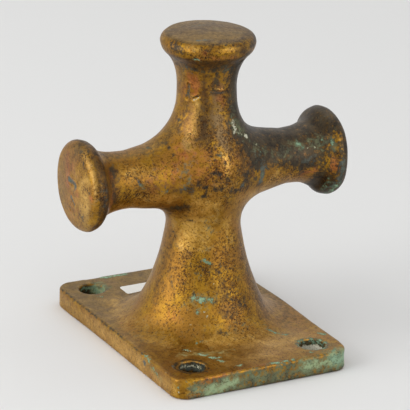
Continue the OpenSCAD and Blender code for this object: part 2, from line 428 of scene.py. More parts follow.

# Olive, tan and brown are skins of old patina. In places olive and brown are also laid as painted shade,
# and tan is laid along lamp highlights as their paler painted colour. The bright rubbed-metal film is metal
# that rope has rubbed bare. It is also laid as painted light: painted highlights where lamps glint, and
# lighter colour on undersides and faces that lie in shade. Copper is metal that has lost its tin, tarnish is
# nearly black, and sage and slate are thin grey-greens. Bloom is a haze of lime, verdigris the green crust
# and chalk the dry lime on it. From the lowest film to the top one: where it lies, its darker and lighter
# tone and the pattern between them, how metallic, how rough.
films = {
    "olive": (frayed("olive", 0.4, 0.3, 1.1), "#6f5524", "#8a6c31", blotched, 0.8, 0.44),
    "tan": (frayed("tan", 0.5, 0.35, 1.15), "#604a2c", "#8a6f48", mottled, 0.8, 0.44),
    "polish_and_painted_light": (frayed("polish_and_painted_light", 0.4, 0.3, 1.1), "#b58836", "#d2a756", blotched, 0.9, 0.34),
    "copper": (frayed("copper", 0.5, 0.4, 1.15), "#985a27", "#b5723b", blotched, 0.8, 0.36),
    "brown": (frayed("brown", 0.5, 0.35, 1.25), "#452e14", "#604621", blotched, 0.75, 0.44),
    "pits": (pitted, "#38250c", "#5a4018", mottled, 0.65, 0.49),
    "tarnish": (frayed("tarnish", 0.7, 0.55, 1.2), "#2b2112", "#4b3c24", blotched, 0.6, 0.41),
    "sage": (frayed("sage", 0.7, 0.55, 1.25), "#4e5037", "#727650", blotched, 0.3, 0.54),
    "slate": (frayed("slate", 0.6, 0.55, 1.1), "#3c4038", "#5d655c", blotched, 0.35, 0.49),
    "bloom": (frayed("bloom", 0.4, 0.25, 1.2), "#6b7655", "#a0b488", bloomed, 0.1, 0.74),
    "verdigris": (frayed("verdigris", 0.8, 0.75, 1.2), "#3c5542", "#94b391", crusted, 0.0, 0.79),
    "chalk": (frayed("chalk", 0.5, 0.7, 1.05, speckled), "#93946a", "#dedbc6", limed, 0.0, 0.84),
}
for lies, dark, light, between, film_metal, film_dull in films.values():
    tone = add_node(
        tree, "ShaderNodeMix", {0: between, 6: linear(dark), 7: linear(light)}, data_type="RGBA"
    ).outputs[2]
    colour = add_node(tree, "ShaderNodeMix", {0: lies, 6: colour, 7: tone}, data_type="RGBA").outputs[2]
    metal = add_node(tree, "ShaderNodeMix", {0: lies, 2: metal, 3: film_metal}).outputs[0]
    dull = add_node(tree, "ShaderNodeMix", {0: lies, 2: dull, 3: film_dull}).outputs[0]

# Fine dark grains pepper every film. Pits sink in, and the crusts stand up by a tenth of a millimetre.
pepper = add_node(
    tree, "ShaderNodeMix", {0: peppered, 6: linear("#948464"), 7: linear("#ffffff")}, data_type="RGBA"
).outputs[2]
colour = add_node(
    tree, "ShaderNodeMix", {0: 1.0, 6: colour, 7: pepper}, data_type="RGBA", blend_type="MULTIPLY"
).outputs[2]
dull = add_node(tree, "ShaderNodeMath", {0: mottled, 1: 0.12, 2: dull}, operation="MULTIPLY_ADD").outputs[0]
crust = add_node(
    tree, "ShaderNodeMath", {0: films["verdigris"][0], 1: films["chalk"][0]}, operation="MAXIMUM"
).outputs[0]
height = 0.0
for pattern, share in ((noises["speck"], 0.5), (mottled, 0.25), (pitted, -0.5), (crust, 0.8)):
    height = add_node(
        tree, "ShaderNodeMath", {0: pattern, 1: share, 2: height}, operation="MULTIPLY_ADD"
    ).outputs[0]
relief = add_node(tree, "ShaderNodeBump", {"Strength": 0.6, "Distance": 0.15 * MM, "Height": height})
tree.links.new(colour, shader.inputs["Base Color"])
tree.links.new(metal, shader.inputs["Metallic"])
tree.links.new(dull, shader.inputs["Roughness"])
tree.links.new(relief.outputs["Normal"], shader.inputs["Normal"])
shader.inputs["Coat Weight"].default_value = 0.2
shader.inputs["Coat IOR"].default_value = 1.28
shader.inputs["Coat Roughness"].default_value = 0.35

# The base plate: planed flat, bolted to the deck through four holes, and open in the middle where
# the sand core stood. Its front edge and the holes are green with verdigris, its top dull.
foot_edge = 50.0


def plate_film(at):
    on_top = np.clip((at[:, 2] - 12.2) / 0.6, 0, 1) * np.clip((46 - at[:, 2]) / 30, 0, 1)
    clear_of_foot = np.clip((np.hypot(at[:, 0], at[:, 1]) - 46) / 8, 0, 1)
    return on_top * clear_of_foot * np.clip(0.55 + at[:, 1] / 130, 0.1, 0.85)


def front_film(at):
    return np.clip((-84.3 - at[:, 1]) / 0.8, 0, 1) * np.clip((12.2 - at[:, 2]) / 1.2, 0, 1) * 0.62


def hole_walls(at):
    away = np.min([np.hypot(at[:, 0] - x, at[:, 1] - y) for x, y in bolt_holes], axis=0)
    return 0.8 * np.clip((8.75 - away) / 0.3, 0, 1) * np.clip((12.6 - at[:, 2]) / 0.6, 0, 1)


def coat(made, name, level_at):
    """A film over a whole face, as level_at gives it for the places of all points."""
    layer = made.verts.layers.float[name]
    for vert, level in zip(made.verts, level_at(places(made)).tolist()):
        vert[layer] = max(vert[layer], level)


def from_line(at, start, end):
    start = np.array(start, float)
    run = np.array(end, float) - start
    share = np.clip(((at - start) @ run) / max(run @ run, 1e-9), 0, 1)
    return np.linalg.norm(at - start - share[:, None] * run, axis=1)


def strike(made, blows):
    """Each blow is (start, end, half width, depth, lip): a groove along a line, with a raised lip."""
    made.normal_update()
    at = places(made)
    verts = made.verts[:]
    for start, end, width, depth, lip in blows:
        away = from_line(at, start, end) / width
        push = lip * np.exp(-((away - 1.6) ** 2) * 4) - depth * np.exp(-(away**2) * 1.5)
        for i in np.nonzero(away < 3)[0].tolist():
            verts[i].co += verts[i].normal * push[i]


def spot(x, y, z, reach, strength=1.0):
    return ((x, y, z), (x, y, z), reach, strength)


def ring(x, y, radius, reach, strength, z=plate_t, behind=-math.inf):
    """Marks round a bolt hole, or round as much of it as lies behind a line across the plate."""
    turns = np.linspace(0, math.tau, 24, endpoint=False).tolist()
    around = [(x + radius * math.cos(a), y + radius * math.sin(a), z) for a in turns]
    return [(p, q, reach, strength) for p, q in zip(around, around[1:] + around[:1]) if p[1] > behind]


def weather(made, marks):
    """Each mark is (start, end, reach, strength), and fades from its line to nothing at its reach."""
    at = places(made)
    drift = np.array([noise.noise_vector(v.co / 5) for v in made.verts])
    verts = made.verts[:]
    for name, lines in marks.items():
        layer = made.verts.layers.float[name]
        level = np.zeros(len(at))
        for start, end, reach, strength in lines:
            away = from_line(at + drift * min(reach * 0.3, 2.5), start, end)
            level = np.maximum(level, strength * np.clip(1 - away / reach, 0, 1))
        for i in np.nonzero(level)[0].tolist():
            verts[i][layer] = max(verts[i][layer], level[i])


# Noise bends the edges of all marks. Its seed is set, so that every run bends them the same way.
drift_seed = 3
noise.seed_set(drift_seed)
coat(skin, "olive", plate_film)
coat(skin, "sage", front_film)
coat(skin, "tarnish", hole_walls)
strike(skin, [
    ((-59.6, -44, 13), (-59.8, -40, 12), 1.8, 0.5, 0.2),
    ((-55.6, -83.6, 12.6), (-52.0, -85.2, 12.6), 1.6, 0.6, 0.1),
    ((8, -85.5, 13), (13, -85.5, 13), 1.4, 0.35, 0.1),
    ((-49.5, -6.5, 13), (-47, -9, 13), 0.8, 0.25, 0.15),
    ((-38, 85.5, 13), (-30, 85.5, 13), 2.5, 0.5, 0.0),
])
weather(skin, {
    "olive": [spot(-44, 27, 13, 16, 0.8), spot(45, 30, 13, 20, 0.7)],
    # Lighter rubbed metal on the plate's top in front of the foot and on its left side face is partly
    # painted light. It lightens the top that mirrors the dark foot, and the side that faces the left lamp.
    "polish_and_painted_light": [
        ((-22, -60, 13), (36, -58, 13), 32, 0.7), ((-44, -56, 13), (-28, -47, 13), 9, 0.7),
        ((-40, -46, 13), (-46, 20, 13), 15, 0.5), ((-38, 44, 13), (-46, 20, 13), 15, 0.5),
        ((-60, 40, 6), (-60, -40, 6), 9, 0.9), ((-60, 76, 6), (-60, 30, 6), 9, 0.6),
        ((-60, -46, 3), (-60, -78, 6), 8, 0.7), ((-14, -48, 13), (20, -55, 13), 14, 0.95),
        ((-22, -72, 13), (10, -72, 13), 12, 0.8), ((-50, -85.5, 6), (-38, -85.5, 5), 6, 0.9),
        ((50.6, 8.5, 13), (53.7, -0.3, 13), 2.4, 0.8), spot(37, -62, 13, 11, 0.35),
    ],
    "copper": [
        ((-44, -85.5, 9.5), (-28, -85.5, 11), 3.6, 1.0), ((-28, -85.5, 12), (52, -85.5, 12.6), 1.5, 0.4),
        ((-52, -85.5, 2), (-42, -85.5, 3.5), 2.6, 0.9), spot(-50.6, 8.1, 13, 2.2, 0.9),
        ((-30, -83, 13), (0, -83, 13), 4, 0.5), ((-59.9, -50, 4), (-59.9, -66, 4), 5, 0.4),
    ],
    "tarnish": [
        ((-59.8, 78, 12.6), (-59.8, -38, 12.6), 1.7, 0.75), spot(-41.5, -68, 13, 15, 0.35),
        ((-10, -85, 13), (56, -85, 13), 1.6, 0.6), ((-50, -85.5, 0.5), (55, -85.5, 0.5), 4.4, 0.9),
        ((-35, -76, 13), (-10, -80, 13), 6, 0.35), ((60, -70, 12.8), (60, 20, 12.8), 1.6, 0.6),
        *ring(-41.5, -68, 10.2, 2.4, 0.75), *ring(-41.5, 68, 8.8, 1.6, 0.7),
    ],
    "brown": [
        ((36, -52, 13), (54, 0, 13), 16, 0.4), ((-60, 74, 6), (-60, 20, 6), 8, 0.35),
        ((-47, -6, 14), (-42, -26, 14), 10, 0.45), ((-30, -85.5, 12), (50, -85.5, 12), 3, 0.3),
    ],
    "sage": [
        ((-8, -85.5, 6), (30, -85.5, 5), 9, 0.9), ((30, -85.5, 3), (56, -84, 3), 5, 0.9),
        *ring(41.5, -68, 9.6, 2.2, 0.8),
    ],
    "slate": [
        spot(-60, -42, 8.5, 4.5, 0.8), *ring(41.5, -68, 9.0, 1.5, 0.8), spot(-20, 84.5, 12.6, 5, 0.6),
        spot(-51.5, -62.5, 13, 2.0, 0.8), ((-53.4, -70, 13), (-53, -64, 13), 1.5, 0.6),
        *ring(-41.5, -68, 8.3, 4.2, 1.1, 9.0, -70),
    ],
    "bloom": [
        ((47, -85.5, 8), (58, -82, 8), 9, 1.6), ((-48, -85.5, 6), (-36, -85.5, 4.5), 5.5, 0.75),
        ((26, -85.5, 8), (44, -85.5, 7.5), 8, 0.95), ((-38, -85.5, 4), (-22, -85.5, 6.5), 7.5, 1.1),
        ((-18, -85.5, 7), (-2, -85.5, 8.5), 7, 0.5), ((-2, -85.5, 7), (24, -85.5, 7), 6, 0.3),
        ((60, -74, 8), (60, -40, 8), 7, 0.8), ((-60, -50, 9), (-60, -64, 5), 4.5, 0.5),
        ((-33.2, 68, 9), (-36, 75, 8), 8, 1.2), ((-38, -50, 13), (-14, -57, 13), 8, 0.5),
        ((24, -38.5, 14.5), (34, -49, 13), 6, 0.35), ((-29, 82.6, 13), (-11, 82, 13), 4.5, 0.55),
        ((32, -78, 13), (54, -74, 13), 6, 0.3),
    ],
    "verdigris": [
        ((48, -85.5, 8), (58, -82.5, 8), 8, 1.25), spot(46, -85.5, 9.5, 3, 0.75),
        spot(31, -85.5, 10, 2.5, 0.65), spot(-47, -85.5, 5.5, 3.6, 0.75), spot(-58, -81.4, 8, 2.6, 0.8),
        spot(-54, -84.7, 12, 2.6, 0.75), spot(-37, -85.5, 3, 2.6, 0.6),
        ((-59.2, -39, 12.8), (-59.8, -48, 12.2), 2.8, 0.85), ((-60, -50, 11.5), (-60, -61, 6.5), 2.0, 0.65),
        ((-33.8, -45, 13), (-31.5, -47, 13), 2.8, 1.0), ((-28.5, -53.5, 13), (-25.5, -57.5, 13), 2.4, 0.95),
        ((-25, -60, 13), (-20, -63, 13), 3.0, 0.95), ((-23.5, -66, 13), (-21, -69, 13), 2.8, 0.9),
        ((-24, -41.6, 13.7), (-12, -45.4, 13.9), 2.6, 0.95), spot(-28, -54.3, 13, 2.6, 0.9),
        spot(-14.2, -78.2, 13, 3.0, 0.9), ((24, -38.5, 14.5), (31, -47, 13), 2.6, 0.8),
        ((30, -46, 13), (34, -49, 13), 2.6, 0.9), spot(55, -56, 13, 4.2, 1.0),
        *ring(41.5, -68, 8.6, 1.8, 0.75), spot(34, -79, 13, 3.2, 0.7),
        ((5, -84, 13), (21, -83, 13), 2.8, 0.85), ((-29, 82.6, 13), (-11, 82, 13), 3.6, 1.0),
        ((-44, 84.6, 12), (-34, 84.6, 12), 2.4, 0.7), spot(-43, 54.4, 13, 2.8, 0.8),
        *ring(-41.5, 68, 8.3, 3.5, 0.6, 10.0), ((-33.2, 68, 10), (-36, 75, 8), 5.0, 0.8),
        *ring(41.5, -68, 8.3, 3.0, 0.7, 11.0), ((58, 40, 2), (60, 75, 3), 4.5, 0.8),
        ((20, 85.5, 4), (50, 85.5, 6), 5, 0.8),
    ],
    "chalk": [
        spot(-57.6, -82, 4.7, 1.5, 0.9), spot(-59.4, -69, 12.7, 1.4, 0.9), spot(-45.7, -36.2, 13, 1.3, 0.7),
        spot(-51.7, -1.8, 13, 1.4, 0.9), ((-49.5, -6.5, 13), (-47, -9, 13), 1.5, 0.9),
        spot(-6.2, -55.7, 13, 1.7, 0.9), spot(-16.5, -66, 13, 1.6, 0.8), spot(-26, -53, 13, 1.4, 0.7),
        spot(-43, 54.6, 13, 1.4, 0.8), spot(32, -48, 13, 1.4, 0.7), spot(55.5, -55, 13, 1.6, 0.8),
        spot(-13, -77, 13, 1.3, 0.7), *ring(-41.5, -68, 8.3, 3.2, 0.75, 9.6, -68),
        ((40, -59.6, 5.6), (50, -65, 5.6), 5.0, 2.2), ((-33.3, 66, 10), (-34, 73, 9), 5, 0.55),
        ((-44, -85.5, 5.5), (-40, -85.5, 5), 3, 0.6), ((-33, -85.5, 5), (-28, -85.5, 6.5), 3, 0.6),
        spot(53, -85, 9, 3, 0.6), ((-33.8, -45, 13), (-31.5, -47, 13), 2.0, 0.75),
        spot(-23.5, -67, 13, 1.6, 0.7), spot(-14.6, -79, 13, 1.4, 0.7),
        ((-24, -41.8, 13.8), (-12, -45.4, 13.9), 2.2, 0.75), spot(-28, -54.3, 13, 2.8, 0.8),
        spot(-26.5, -57.5, 13, 2, 0.7),
    ],
})


def below_foot(at):
    """The plate's share of the skin: its underside, its mouth up to the joint, and all past the foot."""
    off_axis = math.hypot(at.x, at.y)
    return at.z < plate_t / 2 or at.z < plate_t and off_axis < 44 or off_axis > foot_edge and at.z < 24


def split_off(cuts, belongs):
    """Parts the skin along the cuts, and takes out of it the faces whose middles belong."""
    for co, no in cuts:
        co, no = Vector(co), Vector(no)
        near = [f for f in skin.faces if abs((f.verts[0].co - co).dot(no)) < 3]
        near_edges = {e for f in near for e in f.edges}
        near_verts = {v for f in near for v in f.verts}
        bmesh.ops.bisect_plane(
            skin, geom=near + list(near_edges) + list(near_verts), dist=1e-6, plane_co=co, plane_no=no
        )
    taken = skin.copy()
    mine = [belongs(f.calc_center_median()) for f in skin.faces]
    bmesh.ops.delete(taken, geom=[f for f, own in zip(taken.faces[:], mine) if not own], context="FACES")
    bmesh.ops.delete(skin, geom=[f for f, own in zip(skin.faces[:], mine) if own], context="FACES")
    return taken


def cap(made, lies_on):
    """Closes an open end with a flat face, where the next piece of the casting begins."""
    rim = [e for e in made.edges if e.is_boundary and all(lies_on(v.co) for v in e.verts)]
    for edge in rim:
        edge.smooth = False
    bmesh.ops.triangle_fill(made, edges=rim, use_beauty=True)


def seat(made):
    """The foot stands on the plate's flat top: its edge drops to that, and the ring inside is closed."""
    edge = [e for e in made.edges if e.is_boundary and math.hypot(*e.verts[0].co.xy) > 44]
    for e in edge:
        e.smooth = False
    dropped = bmesh.ops.extrude_edge_only(made, edges=edge)["geom"]
    for v in dropped:
        if isinstance(v, bmesh.types.BMVert):
            v.co.z = plate_t
    cap(made, lambda at: abs(at.z - plate_t) < 1e-4)


def finish_bronze(made, node):
    bmesh.ops.recalc_face_normals(made, faces=made.faces)
    for face in made.faces:
        face.smooth = True
    bmesh.ops.scale(made, verts=made.verts, vec=(MM, MM, MM))
    mesh = bpy.data.meshes.new("bronze_" + node)
    made.to_mesh(mesh)
    made.free()
    mesh.materials.append(aged_bronze)
    piece = bpy.data.objects.new("bronze_" + node, mesh)
    bpy.context.scene.collection.objects.link(piece)
    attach(piece, "root")
    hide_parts(node)


mouth_wall = [
    f for f in skin.faces if math.hypot(*f.verts[0].co.xy) < 42 and abs(f.verts[0].co.z - plate_t) < 2
]
mouth_wall += list({e for f in mouth_wall for e in f.edges}) + list({v for f in mouth_wall for v in f.verts})
bmesh.ops.bisect_plane(skin, geom=mouth_wall, dist=1e-6, plane_co=(0, 0, plate_t), plane_no=(0, 0, 1))
base_plate = split_off([], below_foot)
seat(base_plate)
finish_bronze(base_plate, "base_plate")

# The pedestal: the flared foot and the waisted stem above it, hollow inside. Pitted and brown on the
# right, rubbed bright on the left, with a painted highlight there and lighter colour painted under the
# hub where shade falls, and lime and verdigris where water stood against it.
hub_low_z = 65.504
weather(skin, {
    # The lighter rubbed metal here is partly painted light: a painted highlight on the left of the stem, and
    # lighter colour under the hub where its shade falls.
    "polish_and_painted_light": [
        ((-14, -20, 97), (-19, -15, 70), 13, 0.9), ((-26, -6, 90), (-24, -6, 78), 7, 0.6),
        ((-10, -21, 90), (-10, -21.5, 72), 12, 0.75), ((4, -22, 84), (6, -24, 70), 9, 0.5),
        ((-12, -32, 34), (-18, -30, 31), 6, 0.3),
    ],
    "olive": [((-4, -24.5, 94), (-3, -23, 84), 6, 0.6)],
    "copper": [
        spot(-31, -21.5, 26.6, 9, 0.4), spot(-20, -14.6, 64.5, 8, 0.4),
        ((14, -21, 78), (20, -24, 60), 7, 0.35),
    ],
    "brown": [
        ((-14, 26, 60), (-22, 30, 32), 13, 0.6), ((8, 22, 88), (4, 24, 70), 8, 0.5),
        ((20, 32, 30), (0, 42, 20), 11, 0.5), spot(-20, -14.6, 64.5, 7, 0.55),
        ((-15, -22, 55), (-3, -27, 50), 9, 0.3), spot(7, -34.6, 31.7, 7, 0.7), spot(13, -32, 34, 6, 0.6),
        spot(-3, -35.5, 30.4, 6, 0.6), ((22, -22, 60), (31, -25, 26), 12, 0.45),
        ((20, -6, 90), (24, -12, 74), 9, 0.5), spot(4, -31, 42, 8, 0.45),
        ((-24, -4, 70), (-36, -4, 36), 11, 0.6), ((-27, -12, 56), (-30, -13, 44), 8, 0.35),
        ((-2, -31, 43), (0, -37, 28), 10, 0.65), ((0, -40, 21), (30, -30, 19), 12, 0.5),
        ((14, -38, 21), (30, -30, 19), 8, 0.4), ((-30, -34, 17), (10, -43, 17), 7, 0.3),
    ],
    "pits": [
        ((4, -26, 64), (6, -38, 24), 20, 0.95), ((20, -22, 62), (30, -24, 28), 15, 1.2),
        ((-19, -16, 61), (-24, -20, 42), 12, 0.95), ((-14, -22, 57), (-4, -27, 50), 10, 1.2),
        spot(-33, -10, 38, 9, 0.6), ((26, 8, 60), (36, 14, 26), 18, 1.0),
        ((-28, -20, 36), (-34, -20, 26), 8, 0.6),
    ],
    "tarnish": [
        spot(-8, 30, 44, 5, 0.8), spot(4, 36, 28, 4, 0.8), spot(15, 27, 44, 4, 0.85),
        ((-20, 20, 54), (-16, 24, 50), 4, 0.7), spot(-22.9, -4.8, 74.5, 2.6, 0.8),
        spot(-17.7, -16.1, 84.5, 2.4, 0.9), spot(-14.4, -17.4, 85, 1.6, 0.7),
        spot(-11.9, -24.5, 54.2, 2.8, 0.75), spot(-3.6, -27.2, 53.2, 2.8, 0.8),
        spot(-7.3, -26.2, 54.1, 2.6, 0.75), ((-9, -41.2, 18.6), (-4.5, -41.9, 18.0), 2.2, 1.0),
        spot(9.6, -33.7, 32.3, 3.2, 0.9), spot(8.8, -30.8, 39.3, 2.2, 0.8),
        spot(3.3, -33.6, 35.3, 3.2, 0.7), spot(13.3, -33.4, 30.2, 2.8, 0.75),
        spot(-0.2, -36.6, 29, 3.0, 0.6), spot(-15.4, -23.4, 51.1, 2.8, 0.6),
    ],
    "sage": [
        ((-9, -21.5, 88), (-8, -22, 78), 5, 0.5), spot(-9, -23, 67, 5, 0.4), spot(-15, -24, 50.5, 4, 0.5),
        ((0, -40, 19), (10, -39, 19), 5, 0.4), spot(-26, -25, 32, 4, 0.5), spot(-15, -31, 34, 6, 0.35),
    ],
    "bloom": [
        ((-20, -26.2, 38.2), (-8.6, -31.2, 37.2), 5.5, 0.6), spot(-24.2, -24.7, 33.3, 4, 0.5),
        ((-19, -29.5, 33), (-19, -31, 29.5), 4, 0.45), ((-6, -42, 18), (4, -41, 18), 4, 0.3),
    ],
    "verdigris": [
        ((-19.4, -26.2, 38.3), (-15.0, -29.2, 36.8), 3.6, 1.05),
        ((-10.6, -30.8, 37.9), (-9.2, -31.6, 36.8), 3.4, 1.0), spot(-24.2, -24.7, 33.3, 2.4, 0.9),
        ((-18.9, -29.8, 31.7), (-19.1, -30.9, 29.5), 2.2, 0.65), spot(-5.3, -24.4, 64, 2.2, 0.6),
        ((-11.4, -23.4, 60.6), (-8.4, -24.6, 58.4), 2.6, 0.85), spot(-1.9, -26.4, 57.2, 2.4, 0.7),
        spot(-15.4, -23.4, 51.1, 2.6, 0.6), spot(-6.4, -41.9, 18.3, 2.2, 0.4),
        ((-9, -21.6, 86), (-6, -22, 81), 2.0, 0.5), spot(0, -38.5, 22.5, 2.4, 0.6),
        spot(2, -41, 18.5, 2.4, 0.45), ((30, 20, 30), (36, 22, 22), 4, 0.8),
        ((-10, 33, 33), (4, 34, 33), 4, 0.7),
    ],
    "chalk": [
        ((-19.8, -26.4, 37.4), (-14.6, -29.8, 35.8), 2.0, 0.55), spot(-10.4, -31.2, 36.8, 2.2, 0.6),
        spot(-20.4, -25.6, 38.2, 1.3, 0.8), spot(-22, -25.8, 35, 1.0, 0.8),
        spot(4.9, -23.1, 72.4, 1.5, 1.0), spot(4.9, -22.6, 75, 1.1, 0.7), spot(-6.7, -28.8, 46.1, 1.1),
        spot(-13.7, -34.5, 27.9, 1.5), spot(-14.8, -32.7, 30.4, 1.2), spot(-19.4, -30.9, 29.2, 1.2),
        spot(-8.1, -38.7, 23.3, 1.1, 0.8), spot(-23.7, -31.6, 23.2, 1.2), spot(-39.6, -9.7, 20.9, 1.0),
        spot(-11, -24, 60.6, 1.0, 0.8), spot(-20, -27, 38.4, 1.2, 0.8), spot(-9.5, -31.6, 38, 1.3, 0.8),
        spot(-24.6, -25.2, 34.4, 1.2, 0.9), spot(3, -37, 24, 1.3, 0.9), spot(6, -27, 88, 1.0, 0.8),
        spot(-13, -33.4, 29, 1.0, 0.7), spot(-21.6, -27.2, 36, 1.0, 0.7),
    ],
})
pedestal = split_off([((0, 0, hub_low_z), (0, 0, 1))], lambda at: at.z < hub_low_z)
seat(pedestal)
cap(pedestal, lambda at: abs(at.z - hub_low_z) < 1e-4)
finish_bronze(pedestal, "pedestal")

# The hub: the cross itself. Rope has rubbed it, wet rope blackened its right side, and dark pocks,
# red copper and a crust of lichen mark its front. Lighter metal under it and bright strips down the left
# of its neck are partly painted light. Olive and brown along the top of the left arm are painted shade.
hub_x = 44.7
hub_top_z = 157.496


def wet_rope_side(at):
    """Black above a slanting line on the right arm and its head, and clean below it."""
    lowest = 100 + 8 * np.clip((60 - at[:, 0]) / 18, 0, 1) + 4 * np.clip((at[:, 0] - 60) / 6, 0, 1)
    leftmost = 3 + 0.45 * np.clip(145 - at[:, 2], 0, 60)
    level = np.clip((at[:, 2] - lowest) / 9, 0, 1) * np.clip((at[:, 0] - leftmost) / 6, 0, 1)
    level *= np.clip((188 - at[:, 2]) / 4, 0, 1)
    head = np.clip((at[:, 0] - 67.5 + 0.25 * np.clip(106 - at[:, 2], 0, 9)) / 4, 0, 1)
    bare = np.exp(-(((at - (77, -23, 110)) / (6, 8, 8)) ** 2).sum(axis=1))
    bare += 0.8 * np.exp(-(((at - (80, -22, 126)) / (5, 6, 8)) ** 2).sum(axis=1))
    return np.maximum(level, head) * (0.95 - 0.6 * bare)


